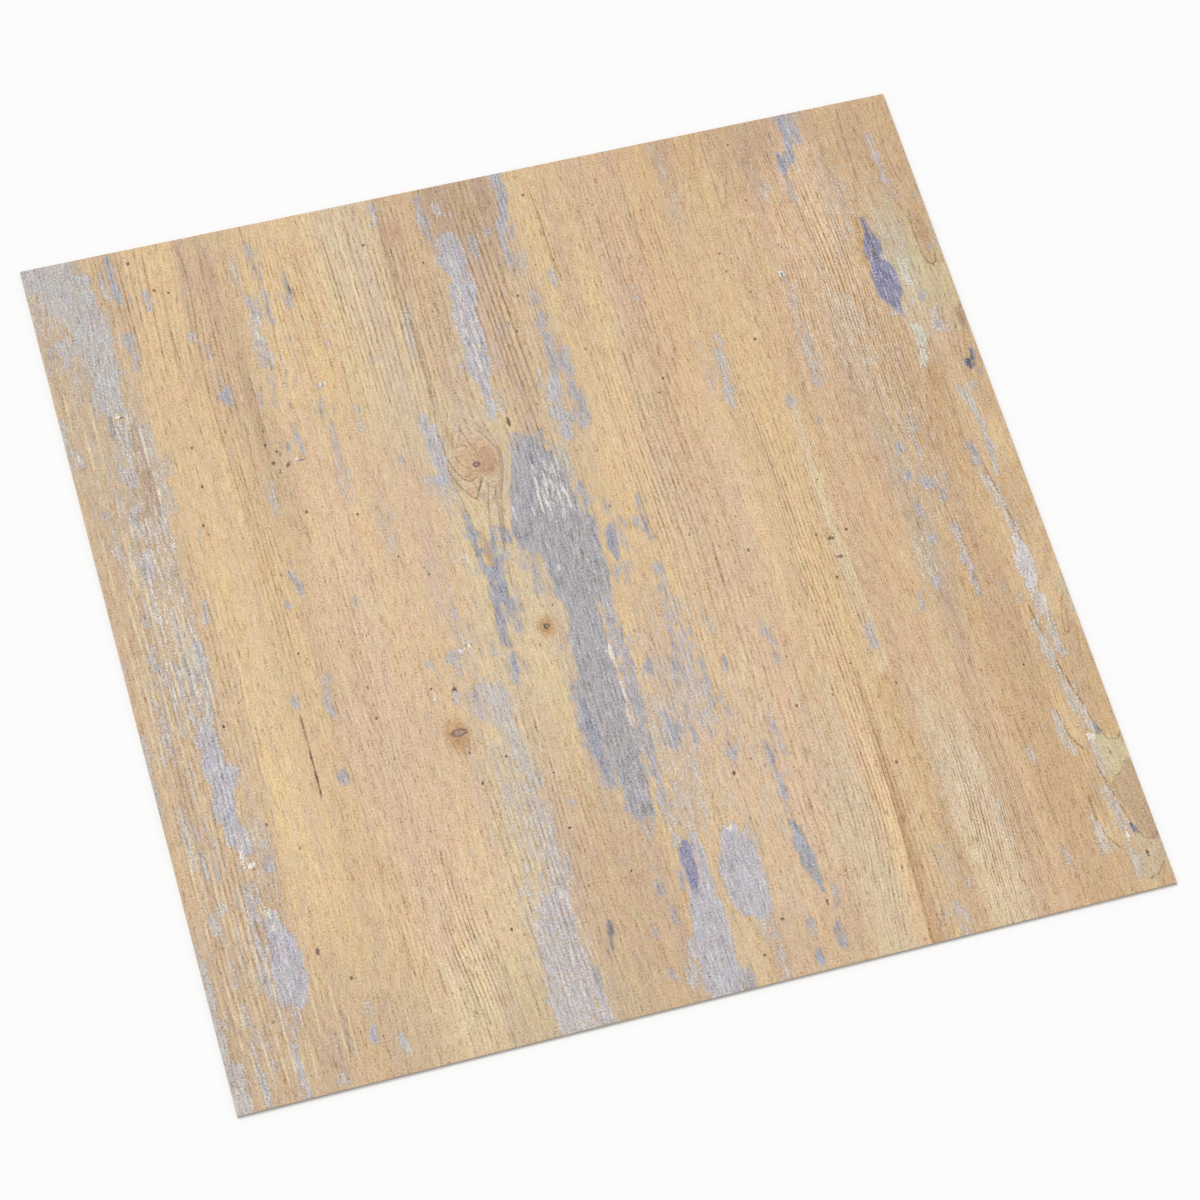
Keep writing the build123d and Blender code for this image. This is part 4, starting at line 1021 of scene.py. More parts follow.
# Thin dark lines: how dark, and their points.
STROKES = tuple(Stroke(*row) for row in (
    (.75, ((-32.8, 60), (-32.4, 50), (-31, 45), (-29.4, 41.4), (-27.5, 40.2), (-25.8, 40.3),
     (-24.4, 41.2))),
    (.55, ((-29.6, 50), (-28.6, 47), (-26.6, 44.8), (-24.4, 43.2), (-21.5, 42.4), (-18.5, 43))),
    (.8, ((-33.2, 46), (-32.2, 42), (-30.6, 38.4), (-29, 35.6), (-27.6, 33.7), (-26.8, 33))),
    (1, ((-26.8, 33), (-26, 34.6), (-24.6, 37.2), (-23.2, 39.8))),
    (.6, ((-14.6, 50), (-14.9, 44), (-16.4, 39), (-18.4, 34), (-20, 27), (-21, 20))),
    (.5, ((-20, 58), (-17.6, 54), (-15.6, 50), (-15.2, 46))),
    (.7, ((-26.2, 62), (-24.8, 57), (-23.6, 53.5), (-22.8, 51.5))),
    (.45, ((-26.4, 39.5), (-25.8, 37), (-26, 34.5))),
    (.55, ((-21.4, 38), (-22.6, 34), (-23.8, 29.5), (-24.6, 25), (-25.3, 20), (-26.6, 13.5))),
    (.55, ((-19.9, 36), (-20.7, 30), (-21.7, 23), (-22.7, 14), (-23.4, 6), (-24, 0))),
    (.4, ((-17.6, 40), (-18.4, 36), (-19.4, 30))), (.4, ((-15.6, 46), (-15.9, 43), (-17, 40))),
    (.4, ((-33.6, 44), (-32.2, 37), (-31.2, 30), (-30.4, 23))), (.6, ((-20, 18), (-20.1, 14))),
    (.7, ((-77.5, 152), (-77.4, 145))), (.5, ((-99.5, 150), (-99.3, 135))),
    (.5, ((-109, 118), (-108.8, 100))), (.5, ((-104.5, 112), (-104.3, 95))), (.5, ((38.5, 80), (38.6, 73))),
    (.5, ((46, 34), (46.2, 30))), (.5, ((37, 20), (37.1, 8))), (.5, ((43, -8), (43.2, -18))),
    (.6, ((-83.5, 38), (-83.4, 30))), (.8, ((-101.7, -28), (-101.7, -42), (-102, -57))),
    (.5, ((-117.5, -134), (-117.3, -148))), (.5, ((-114, -128), (-113.8, -142))),
    (.5, ((-89.5, -109), (-89.4, -121))), (.6, ((134.5, 150), (133.6, 142), (133.3, 130), (133, 118))),
    (.5, ((131.2, 120), (130.4, 115), (129.6, 109))),
    (.45, ((147.8, 150), (146.4, 138), (146, 130), (146.8, 118))),
    (.5, ((114.5, 141), (113.2, 136), (111.6, 132))), (.5, ((84.6, 150), (84.4, 138), (84.2, 122))),
    (.5, ((21.8, 143), (22.2, 130), (22.2, 118), (22.8, 107))),
    (.4, ((41.6, 130), (41.3, 118), (40.6, 104))), (.4, ((52.4, 82), (52.9, 68))),
    (.4, ((46.3, 92), (46.4, 80))), (.35, ((60.6, 100), (60.4, 80))), (.4, ((90.2, 116), (90, 100))),
    (.4, ((53.4, 126), (53.2, 112))), (.4, ((45.6, 60), (45.8, 44))),
    (.5, ((146.3, 105), (145.4, 97), (145.5, 90), (145.7, 86))),
    (.85, ((145.7, 86), (146.6, 83.8), (148, 82.7), (149.3, 83.6), (150.1, 87))),
    (.8, ((139, 14), (140.5, 2), (142, -8), (143, -18), (143.6, -25))),
    (.6, ((124.6, -12), (124.2, -25), (124, -38))),
    (.8, ((134.6, -86), (134.8, -91), (135.8, -96), (138.6, -101))),
    (.8, ((134.6, -117), (134.9, -126), (136, -132), (138.6, -136))),
    (.9, ((138, -48), (139, -60), (140.5, -70), (142.3, -79), (144.2, -88))),
    (.9, ((141, -108), (142, -113), (143, -119), (144.3, -125))),
    (.6, ((144.2, -88), (145.5, -95), (147.6, -99.5), (150.5, -100.5), (153, -98))),
    (.6, ((144.3, -125), (145.7, -131), (147.8, -135.3), (150.5, -136.3), (153, -134))),
    (.5, ((145, -113), (147.5, -112), (151, -108))), (.5, ((145, -149), (148, -148), (151, -144.5))),
    (.5, ((149.5, -48), (147.3, -55), (146.6, -60), (148.2, -61), (149.6, -52))),
    (.55, ((120.5, -85), (121, -97), (122.5, -103), (121.5, -110), (122, -125))),
    (.55, ((121, -131), (122.5, -140), (122.5, -150))),
    (.4, ((-31.5, 150), (-31, 143), (-30.9, 138), (-31.4, 130), (-31, 118))),
    (.4, ((-26.6, 150), (-25.7, 143), (-25.4, 138), (-26.2, 130), (-26.8, 118))),
    (.45, ((-30.4, 116), (-30.2, 100), (-30.6, 84), (-31.6, 66))),
    (.4, ((-21.8, 118), (-21, 104), (-23, 88), (-24.4, 68))),
    (.35, ((-18.6, 120), (-17.6, 106), (-19.6, 92))),
    (.35, ((26.9, -84), (27.6, -94), (27.4, -101), (28, -111))),
    (.5, ((75.2, -80), (74.5, -100), (73.7, -112), (72.3, -130), (71, -153))),
))


class Lattice:
    """Smooth random numbers over the plane, the same on every run."""

    def __init__(self, seed: int, size: int = 256) -> None:
        """Draws the lattice's numbers, from -1 to 1."""
        self.size = size
        self.values = np.random.default_rng(seed).uniform(-1, 1, (size, size))

    def __call__(self, x: np.ndarray, y: np.ndarray, across: float, along: float) -> np.ndarray:
        """Reads the lattice.

        Args:
            x: places across the grain.
            y: places along the grain.
            across: the lattice's pitch across the grain.
            along: its pitch along the grain.

        Returns:
            A value for each place, from -1 to 1.
        """
        u, v = x / across + 100, y / along + 100
        i, j = np.floor(u).astype(int), np.floor(v).astype(int)
        s, t = u - i, v - j
        s, t = s * s * (3 - 2 * s), t * t * (3 - 2 * t)
        near, far = i % self.size, (i + 1) % self.size
        low, high = j % self.size, (j + 1) % self.size
        table = self.values
        bottom = table[near, low] * (1 - s) + table[far, low] * s
        top = table[near, high] * (1 - s) + table[far, high] * s
        return bottom * (1 - t) + top * t


def spread(areas: Sequence[Area | Zone], x: np.ndarray, y: np.ndarray) -> np.ndarray:
    """The weight of each soft region at each place, one row for each region."""
    rows = [a.weight * np.exp(-((x - a.x) / a.across) ** 2 - ((y - a.y) / a.along) ** 2) for a in areas]
    return np.array(rows)


@dataclass(frozen=True)
class PaintRule:
    """How the worn paint answers to the noise that tears it.

    The noise lies about middle, with that deviation. The value that shows paint rises by climb
    for each millimetre out from an outline, or by crisp where the paint is whole, as far as reach.
    Between the remnants a few crumbs are left, more of them where it is dusty.
    """
    middle: float = 0.5
    deviation: float = 0.13
    climb: float = 0.13
    crisp: float = 0.3
    reach: float = 3.0
    crumbs: float = 0.006
    dust_ease: float = 0.02
    clean_below: float = 0.15
    clean_cost: float = 0.1

    def threshold(self, hold: float) -> float:
        """The noise value above which a share of hold of the surface lies."""
        share = min(max(hold, 0.02), 0.998)
        return self.middle + self.deviation * NormalDist().inv_cdf(1 - share)


def depth_inside(stations: Sequence[Station], x: np.ndarray, y: np.ndarray) -> np.ndarray:
    """How deep each place lies inside an outline.

    Args:
        stations: the outline's left and right side at some heights, from the top down.
        x: places across the grain.
        y: places along the grain.

    Returns:
        The depth inside it, below 0 outside.
    """
    heights, lefts, rights = np.array(stations[::-1]).T
    side = np.minimum(x - np.interp(y, heights, lefts), np.interp(y, heights, rights) - x)
    end = np.minimum(heights[-1] - y, y - heights[0]) + .3
    return np.minimum(side, end)


def smooth(value: np.ndarray | float, low: float, high: float) -> np.ndarray:
    """Rises smoothly from 0 at low to 1 at high."""
    share = np.clip((value - low) / (high - low), 0, 1)
    return share * share * (3 - 2 * share)


@dataclass
class Print:
    """The printed picture, worked out at the mesh's own points."""
    rule: PaintRule = field(default_factory=PaintRule)

    def wood(self, x: np.ndarray, y: np.ndarray) -> np.ndarray:
        """The wood's colour at each place.

        Args:
            x: places across the grain.
            y: places along the grain.

        Returns:
            Red, green, blue and alpha, one row for each place.
        """
        wander = Lattice(3)(x, y, 5, 70) * 3.2 + Lattice(4)(x, y, 1.3, 30) * 1.4
        weights = spread(ZONES, x + wander, y + Lattice(5)(x, y, 2, 40) * 12) ** 1.3
        tones = np.array([zone.tone.value for zone in ZONES])
        base = np.array(Wood.TAN.value)
        colour = (weights.T @ tones + .05 * base) / (weights.sum(0) + .05)[:, None]
        ragged = Lattice(6)(x, y, 1.4, 4) * .3
        for patch in PATCHES:
            share = smooth(depth_inside(patch.stations, x, y) + ragged, -.35, .35) * patch.weight
            colour = colour + share[:, None] * (np.array(patch.tone.value) - colour)
        return np.column_stack([colour, np.ones(len(x))])

    def paint(self, x: np.ndarray, y: np.ndarray) -> dict[str, np.ndarray]:
        """The paint at each place.

        Args:
            x: places across the grain.
            y: places along the grain.

        Returns:
            The noise it needs to show, its colour, cover and streaks, by name.
        """
        rule = self.rule
        dusty = np.minimum(spread(DUST, x, y).sum(0), 1.5)
        need = rule.threshold(rule.crumbs) - rule.dust_ease * dusty
        need = need + np.where(dusty < rule.clean_below, rule.clean_cost, 0)
        tint = np.tile([*Paint.DOVE.value, 1.0], (len(x), 1))
        streak, cover = np.full(len(x), .5), np.full(len(x), .6)
        for remnant in REMNANTS:
            heights, lefts, rights = np.array(remnant.stations).T
            near = np.flatnonzero((y > heights[-1] - rule.reach) & (y < heights[0] + rule.reach)
                                  & (x > lefts.min() - rule.reach) & (x < rights.max() + rule.reach))
            if not len(near):
                continue
            depth = depth_inside(remnant.stations, x[near], y[near])
            inner = rule.threshold(remnant.hold)
            climb = rule.climb + (rule.crisp - rule.climb) * float(smooth(remnant.hold, .9, 1))
            if inner > rule.middle:
                level = inner + climb * np.maximum(0, -depth)
            else:
                level = np.maximum(inner, rule.middle - climb * depth)
            wins = (level < need[near]) | (remnant.over & (depth > 0))
            spots = near[wins]
            need[spots] = np.minimum(need[spots], level[wins])
            tint[spots, :3] = remnant.tone.value
            streak[spots] = remnant.streak
            cover[spots] = remnant.cover()
        return {"need": need, "tint": tint, "streak": streak, "cover": cover}

    def drift(self, x: np.ndarray, y: np.ndarray) -> np.ndarray:
        """How far the grain is pushed aside, by gentle waves and by its flow round the knots.

        Args:
            x: places across the grain.
            y: places along the grain.

        Returns:
            The shift at each place, in millimetres.
        """
        shift = Lattice(7)(x, y, 30, 90) * 2.2 + Lattice(8)(x, y, 9, 45) * .7
        shift = shift + 2.5 * np.exp(-((x - 152) / 12) ** 2) * np.sin(y / 17)
        for slant in SLANTS:
            lean = spread([slant.area], x, y)[0]
            shift = shift + lean * slant.lean * (y - slant.area.y)
        for knot in KNOTS:
            across, along = x - knot.x, (y - knot.y) / knot.stretch
            apart = np.maximum(np.hypot(across, along), .01)
            ratio = np.minimum(knot.radius / apart, apart / knot.radius)
            shift = shift - across * ratio ** 2 * .8
        return shift

    def rings(self, x: np.ndarray, y: np.ndarray) -> np.ndarray:
        """Counts the growth lines across the board, up to each place.

        Args:
            x: places across the grain.
            y: places along the grain.

        Returns:
            The count at each place.
        """
        grid = np.arange(-170.0, 170.0, .5)
        places, pitches = np.array(PITCHES).T
        counts = np.cumsum(.5 / np.interp(grid, places, pitches))
        return np.interp(x + self.drift(x, y) + Lattice(9)(x, y, 8, 50) * 1.1, grid, counts)

    def strokes(self, x: np.ndarray, y: np.ndarray) -> tuple[np.ndarray, np.ndarray]:
        """The thin dark lines near each place.

        Args:
            x: places across the grain.
            y: places along the grain.

        Returns:
            The signed distance to the nearest one, and how dark it is.
        """
        signed, ink = np.full(len(x), 9.0), np.zeros(len(x))
        for stroke in STROKES:
            for (x0, y0), (x1, y1) in zip(stroke.points, stroke.points[1:]):
                dx, dy = x1 - x0, y1 - y0
                along = np.clip(((x - x0) * dx + (y - y0) * dy) / (dx * dx + dy * dy), 0, 1)
                off_x, off_y = x - x0 - along * dx, y - y0 - along * dy
                apart = np.hypot(off_x, off_y)
                side = np.where(off_x * dy - off_y * dx > 0, 1, -1)
                wins = apart < np.abs(signed)
                signed = np.where(wins, apart * side, signed)
                ink = np.where(wins, stroke.ink * np.clip(1.6 - apart, 0, 1), ink)
        return signed, ink

    def pale_lines(self, x: np.ndarray, y: np.ndarray) -> tuple[np.ndarray, np.ndarray]:
        """The thin pale lines near each place.

        Args:
            x: places across the grain.
            y: places along the grain.

        Returns:
            The signed distance to the nearest one, and how strong it is.
        """
        signed, strength = np.full(len(x), 9.0), np.zeros(len(x))
        sway = Lattice(14)(x, y, 9, 40) * .4
        for middle, top, low in PALE_LINES:
            off = x + sway - middle
            end = np.minimum(top - y, y - low)
            wins = (np.abs(off) < np.abs(signed)) & (end > 0)
            signed = np.where(wins, off, signed)
            strength = np.where(wins, np.clip((1 - np.abs(off)) * 1.6, 0, 1) * smooth(end, 0, 9), strength)
        return signed, strength

    def specks(self, x: np.ndarray, y: np.ndarray) -> np.ndarray:
        """Depth inside the nearest dark speck, below 0 outside it.

        Args:
            x: places across the grain.
            y: places along the grain.

        Returns:
            The depth at each place.
        """
        depth = np.full(len(x), -1.0)
        sizes = np.random.default_rng(21).uniform(.85, 1.25, len(SPECKS))
        for (speck_x, speck_y, width, height), size in zip(SPECKS, sizes):
            width, height = width * size, height * size
            near = np.flatnonzero((np.abs(x - speck_x) < width + 1) & (np.abs(y - speck_y) < height + 1))
            scaled = np.hypot((x[near] - speck_x) / (width / 2), (y[near] - speck_y) / (height / 2))
            depth[near] = np.maximum(depth[near], (1.15 - scaled) * min(width, height) / 2)
        return depth


class FilmShader(Shader):
    """The print's node tree, with what its layers share.

    It has the place x and y, u as the grain is pushed aside, short threads, round mottle, a comb
    of growth lines, the ridge that the comb makes where the board is lined, the relief shade of them
    all, which paints the pressed grain's light and dark into the colour over the print's own fine
    texture, and rough noise for outlines.
    """

    def __init__(self, owner: bpy.types.Material) -> None:
        """Reads the place and makes the shared noise.

        Args:
            owner: the print's material.
        """
        super().__init__(owner)
        self.x, self.y, _ = self.place()
        self.u = self.x + self.number("drift")
        self.threads = self.layer(.66, 4.6, 4.7)
        self.mottle = self.layer(.52, .66, 15.9, 1)
        self.comb = (self.number("rings") * math.tau).sine().step(-.1, 1) - .35
        self.ridge = self.comb * self.number("lined")
        # Relief shade: light and dark of the pressed grain, with darker pores, painted into the colour from
        # the same noise as the bump, over the print's own fine texture.
        pores = (self.threads * .9 + self.mottle * .7).step(-.12, -.24)
        pressed = self.threads * .46 + self.mottle * .74
        self.texture_and_relief_shade = pressed - self.ridge * .13 - self.comb * .02 - pores * .1
        self.rough = self.noise(self.x, self.y, .7, 1.0, 45.5, 2) - .5

    def layer(self, across: float, along: float, seed: float, detail: float = 2.0) -> Wire:
        """Noise about 0 that follows the grain, with blotches of that size."""
        return self.noise(self.u, self.y, across, along, seed, detail) - .5


@dataclass(frozen=True)
class PrintedFilm:
    """The clear-coated print: wood with worn paint, pressed with a fine grain."""
    dark: Colour = linear(170, 134, 99)
    brown: Colour = linear(92, 70, 56)
    groove: Colour = linear(136, 106, 82)
    check: Colour = linear(134, 106, 88)
    # White: the paint flakes' pale lips, and the painted glints on the film.
    white: Colour = linear(240, 232, 220)
    lime: Colour = linear(212, 199, 152)
    pink: Colour = linear(206, 175, 157)
    haze: Colour = linear(182, 177, 179)
    shadow: Colour = linear(142, 124, 116)
    cream: Colour = linear(223, 201, 161)

    def grain(self, kit: FilmShader) -> bpy.types.NodeSocket:
        """The bare wood's colour: its own tones, late wood, fine lines, mottle and short checks.

        Args:
            kit: the print's node tree.

        Returns:
            The colour.
        """
        lined, motley = kit.number("lined"), kit.number("motley")
        late = kit.layer(1.9, 75, 1.3, 3)
        broad = kit.layer(7, 80, 12.5)
        streaks = kit.layer(1.15, 11, 61.7)
        hues = kit.layer(2.4, 9, 65.3)
        bands = late * (.25 + lined * .35)
        tone = kit.dim(kit.colour("wood"), 1.03 + broad * .3 - bands * .8)
        lines = (bands * 1.3 - kit.threads * .4 + kit.ridge * .24).step(.03, .3)
        tone = kit.blend(lines * .65, tone, self.dark)
        tone = kit.lean(tone, hues * .24, broad * -.4 + hues * .1)
        tone = kit.blend(hues.step(.03, .17) * motley * .5, tone, self.pink)
        tone = kit.blend(hues.step(-.03, -.17) * motley * .5, tone, self.lime)
        tone = kit.blend(streaks.step(.02, .14) * motley * .65, tone, self.haze)
        checks = kit.layer(.85, 4, 52.1, 1) + lined * .06
        return kit.blend(checks.step(.2, .27) * .55, tone, self.check)

    def stained(self, kit: FilmShader, colour: bpy.types.NodeSocket,
                halos: Sequence[Halo]) -> bpy.types.NodeSocket:
        """Lays soft oval stains over a colour.

        Args:
            kit: the print's node tree.
            colour: the colour so far.
            halos: the stains, in order.

        Returns:
            The stained colour.
        """
        for halo in halos:
            reach = halo.reach(kit.x, kit.y) + kit.rough * .8
            colour = kit.blend(reach.step(halo.gone, halo.full) * halo.share, colour, halo.tone)
        return colour

    def marked(self, kit: FilmShader, colour: bpy.types.NodeSocket) -> bpy.types.NodeSocket:
        """Adds the knots, the thin dark lines and the specks to the wood.

        Args:
            kit: the print's node tree.
            colour: the bare wood's colour.

        Returns:
            The marked colour.
        """
        colour = self.stained(kit, colour, HALOS)
        line = abs(kit.number("stroke")) + kit.rough * .6
        colour = kit.blend(line.step(.5, .1) * kit.number("ink") * .85, colour, self.groove)
        colour = self.stained(kit, colour, CORES)
        speck = kit.number("speck") + kit.rough * .7
        return kit.blend(speck.step(-.02, .25) * .85, colour, self.brown)

    def coat(self, kit: FilmShader) -> tuple[Wire, Wire, bpy.types.NodeSocket]:
        """The worn paint, torn by noise about the outlines that the mesh carries.

        Args:
            kit: the print's node tree.

        Returns:
            Where it is left, the dark rim beside it, and its colour.
        """
        streak = kit.number("streak")
        patch = kit.layer(2.6, 6, 21.3)
        thread = kit.layer(.8, 4.5, 25.8)
        torn = .5 + patch * .68 + thread * (.75 + streak * .4) + kit.mottle * .55
        left = torn - kit.number("need") - kit.ridge * .06 - kit.comb * streak * .08
        shown = left.step(-.03, .02)
        rim = (left + kit.threads * .4).step(-.09, -.02) * (1 - shown)
        lip = shown * left.step(.08, .02) * kit.threads.step(-.06, .06)
        shade = kit.layer(2.2, 4.5, 33.6)
        hue = kit.layer(1.6, 7, 81.4, 1)
        # The paint's body carries the painted relief shade too.
        body = kit.shade(kit.colour("tint"), shade * .25 + kit.texture_and_relief_shade * .3 + thread * .26)
        cool = kit.lean(body, hue * .28, hue * .35 - patch * .4)
        return shown * kit.number("cover"), rim, kit.blend(lip * .3, cool, self.white)

    def material(self) -> bpy.types.Material:
        """Builds the print's material.

        Returns:
            The finished material.
        """
        kit = FilmShader(bpy.data.materials.new("printed film"))
        marked = self.marked(kit, self.grain(kit))
        shown, rim, paint = self.coat(kit)
        painted = kit.blend(shown, kit.blend(rim * .42, marked, self.shadow), paint)
        line = (abs(kit.number("pale")) + kit.rough * .5).step(.6, .2) * kit.number("glow")
        lined = kit.blend(line * kit.threads.step(-.4, .1) * .8, painted, self.cream)
        # Painted shade of the pressed relief, laid over the print's own fine texture.
        printed = kit.shade(lined, kit.texture_and_relief_shade)
        # Painted highlight: small white glints on the raised grain, in the glint zones and on the paint.
        painted_glint = (kit.threads + kit.mottle).step(.12, .24) * (kit.number("painted_glint_zone") + shown * .25)
        colour = kit.blend(painted_glint * .5, printed, self.white)
        height = kit.threads * .9 + kit.mottle + kit.ridge * .12
        bump = kit.node("ShaderNodeBump", None, {"Strength": .5, "Distance": .0003, "Height": height})
        return kit.finish({
            "Base Color": colour,
            "Roughness": .5 + kit.mottle * .3 + shown * .05,
            "Specular IOR Level": .35,
            "Normal": bump.outputs[0],
        })


@dataclass(frozen=True)
class FilledVinyl:
    """The bare vinyl of the cut edge and the underside: chalk-filled, with a pressed weave."""
    core: Colour = linear(186, 172, 156)
    film: Colour = linear(120, 104, 88)
    back: Colour = linear(150, 146, 140)
    film_depth: float = 0.3
    weave: float = 1.2

    def material(self) -> bpy.types.Material:
        """Builds the bare vinyl's material.

        Returns:
            The finished material.
        """
        kit = Shader(bpy.data.materials.new("filled vinyl"))
        x, y, z = kit.place()
        cloud = kit.noise(x, y, 18, 18, 2.2, 3)
        grit = kit.noise(x, y, .5, .5, 5.6, 2)
        seam = THICKNESS - self.film_depth
        layers = z.step(seam - .1, seam + .05)
        under = z.step(.06, .01)
        edge = kit.blend(layers * .6, self.core, self.film)
        tone = kit.blend(under, edge, self.back)
        colour = kit.dim(tone, 1 + (cloud - .5) * .16 + (grit - .5) * .22)
        turn = math.tau / self.weave
        height = grit * .5 + (x * turn).sine() * (y * turn).sine() * under * .35
        bump = kit.node("ShaderNodeBump", None, {"Strength": .5, "Distance": .0001, "Height": height})
        return kit.finish({
            "Base Color": colour,
            "Roughness": .62 + (cloud - .5) * .12,
            "Specular IOR Level": .3,
            "Normal": bump.outputs[0],
        })


@dataclass
class Plank:
    """The one sheet: its pressed upper face, its soft lip, its cut edge and its underside."""
    side: float = SIDE
    thickness: float = THICKNESS
    lip: float = LIP_RADIUS
    lip_steps: int = 3
    columns: int = 490
    rows: int = 140
    cuts: int = 3
    press: float = 0.07
    film: PrintedFilm = field(default_factory=PrintedFilm)
    vinyl: FilledVinyl = field(default_factory=FilledVinyl)
    picture: Print = field(default_factory=Print)

    def build(self) -> bpy.types.Object:
        """Models the sheet and dresses it.

        Returns:
            The finished piece.
        """
        sheet = self.face()
        self.refine(sheet)
        self.wrap(sheet)
        self.emboss(sheet)
        self.record_print(sheet)
        self.unwrap(sheet)
        self.dress(sheet)
        return sheet

    def face(self) -> bpy.types.Object:
        """Adds the flat upper face as a grid, inside the lip.

        Returns:
            The sheet's object.
        """
        bpy.ops.object.select_all(action="DESELECT")
        flat = (self.side - 2 * self.lip) * MM
        bpy.ops.mesh.primitive_grid_add(x_subdivisions=self.columns, y_subdivisions=self.rows, size=flat,
                                        location=(0, 0, self.thickness * MM))
        sheet = bpy.context.active_object
        sheet.name = "plank_sheet"
        bpy.ops.object.transform_apply(location=True, rotation=True, scale=True)
        return sheet

    def fine_boxes(self) -> list[tuple[float, float, float, float]]:
        """The boxes that hold fine print.

        Returns:
            For each, x and y of its centre, and half its width and height.
        """
        speck_across, speck_along, end_across, end_along = .7, 1.2, .4, 1.3
        boxes = [(x, y, width / 2 + speck_across, height / 2 + speck_along) for x, y, width, height in SPECKS]
        for remnant in REMNANTS:
            for y, left, right in (remnant.stations[0], remnant.stations[-1]):
                boxes.append(((left + right) / 2, y, (right - left) / 2 + end_across, end_along))
        return boxes + list(KNOT_BOXES)

    def refine(self, sheet: bpy.types.Object) -> None:
        """Cuts the grid's long edges where the print is fine.

        Args:
            sheet: the sheet's object.
        """
        bpy.ops.object.mode_set(mode="EDIT")
        bpy.ops.mesh.select_mode(type="EDGE")
        bpy.ops.mesh.select_all(action="DESELECT")
        mesh = bmesh.from_edit_mesh(sheet.data)
        edges, straight = list(mesh.edges), 1e-4
        ends = np.array([[*edge.verts[0].co.xy, *edge.verts[1].co.xy] for edge in edges]) / MM
        middle_x, middle_y = (ends[:, 0] + ends[:, 2]) / 2, (ends[:, 1] + ends[:, 3]) / 2
        chosen = np.zeros(len(edges), bool)
        for x, y, wide, tall in self.fine_boxes():
            chosen |= (np.abs(middle_x - x) < wide) & (np.abs(middle_y - y) < tall)
        chosen &= np.abs(ends[:, 0] - ends[:, 2]) < straight
        for index in np.flatnonzero(chosen):
            edges[index].select = True
        bmesh.update_edit_mesh(sheet.data)
        bpy.ops.mesh.subdivide(number_cuts=self.cuts, smoothness=0)
        bpy.ops.object.mode_set(mode="OBJECT")

    def wrap(self, sheet: bpy.types.Object) -> None:
        """Extrudes the border round the lip and down the cut edge, and closes the underside.

        Args:
            sheet: the sheet's object; not used, as the operators work on the active object.
        """
        bpy.ops.object.mode_set(mode="EDIT")
        bpy.ops.mesh.select_mode(type="EDGE")
        bpy.ops.mesh.select_all(action="DESELECT")
        bpy.ops.mesh.select_non_manifold(extend=False, use_wire=False, use_boundary=True,
                                         use_multi_face=False, use_non_contiguous=False, use_verts=False)
        turns = [math.pi / 2 * step / self.lip_steps for step in range(self.lip_steps + 1)]
        rings = [(self.side / 2 - self.lip * (1 - math.sin(turn)),
                  self.thickness - self.lip * (1 - math.cos(turn))) for turn in turns]
        rings.append((self.side / 2, self.thickness / 2))
        rings.append((self.side / 2, 0.0))
        for (reach, height), (next_reach, next_height) in zip(rings, rings[1:]):
            move = {"value": (0, 0, (next_height - height) * MM)}
            bpy.ops.mesh.extrude_edges_move(TRANSFORM_OT_translate=move)
            grow = next_reach / reach
            bpy.ops.transform.resize(value=(grow, grow, 1), center_override=(0, 0, 0))
        bpy.ops.mesh.edge_face_add()
        bpy.ops.mesh.select_all(action="SELECT")
        bpy.ops.mesh.normals_make_consistent(inside=False)
        bpy.ops.object.mode_set(mode="OBJECT")

    def points(self, sheet: bpy.types.Object) -> np.ndarray:
        """The mesh's points in millimetres.

        Args:
            sheet: the sheet's object.

        Returns:
            One row of x, y and z for each point.
        """
        flat = np.zeros(len(sheet.data.vertices) * 3)
        sheet.data.vertices.foreach_get("co", flat)
        return flat.reshape(-1, 3) / MM

    def emboss(self, sheet: bpy.types.Object) -> None:
        """Presses the wood grain and the specks' pits into the upper face.

        Args:
            sheet: the sheet's object.
        """
        x, y, z = self.points(sheet).T
        u = x + self.picture.drift(x, y)
        fade, steps, slack = .8, 60, .001
        coarse, fine = Lattice(11)(u, y, 1.5, 24), Lattice(12)(u, y, 1.25, 9)
        dashes = Lattice(13)(u, y, 1.3, 4.5)
        lines = np.clip(.35 + .45 * coarse + .3 * fine + .2 * dashes, 0, 1)
        pits = np.clip(self.picture.specks(x, y) * 2.5, 0, 1)
        depth = np.clip(lines * .7 + pits * .6, 0, 1)
        inset = np.minimum(self.side / 2 - np.abs(x), self.side / 2 - np.abs(y))
        printed = z > self.thickness - slack
        depth = np.where(printed, depth * np.clip((inset - self.lip) / fade, 0, 1), 0)
        group = sheet.vertex_groups.new(name="pressed")
        levels = np.round(depth * steps).astype(int)
        for level in range(1, levels.max() + 1):
            group.add(np.flatnonzero(levels == level).tolist(), level / steps, "REPLACE")
        press = sheet.modifiers.new("press", "DISPLACE")
        press.direction = "Z"
        press.mid_level = 0
        press.strength = -self.press * MM
        press.vertex_group = group.name
        bpy.context.view_layer.objects.active = sheet
        bpy.ops.object.modifier_apply(modifier=press.name)
        sheet.vertex_groups.clear()

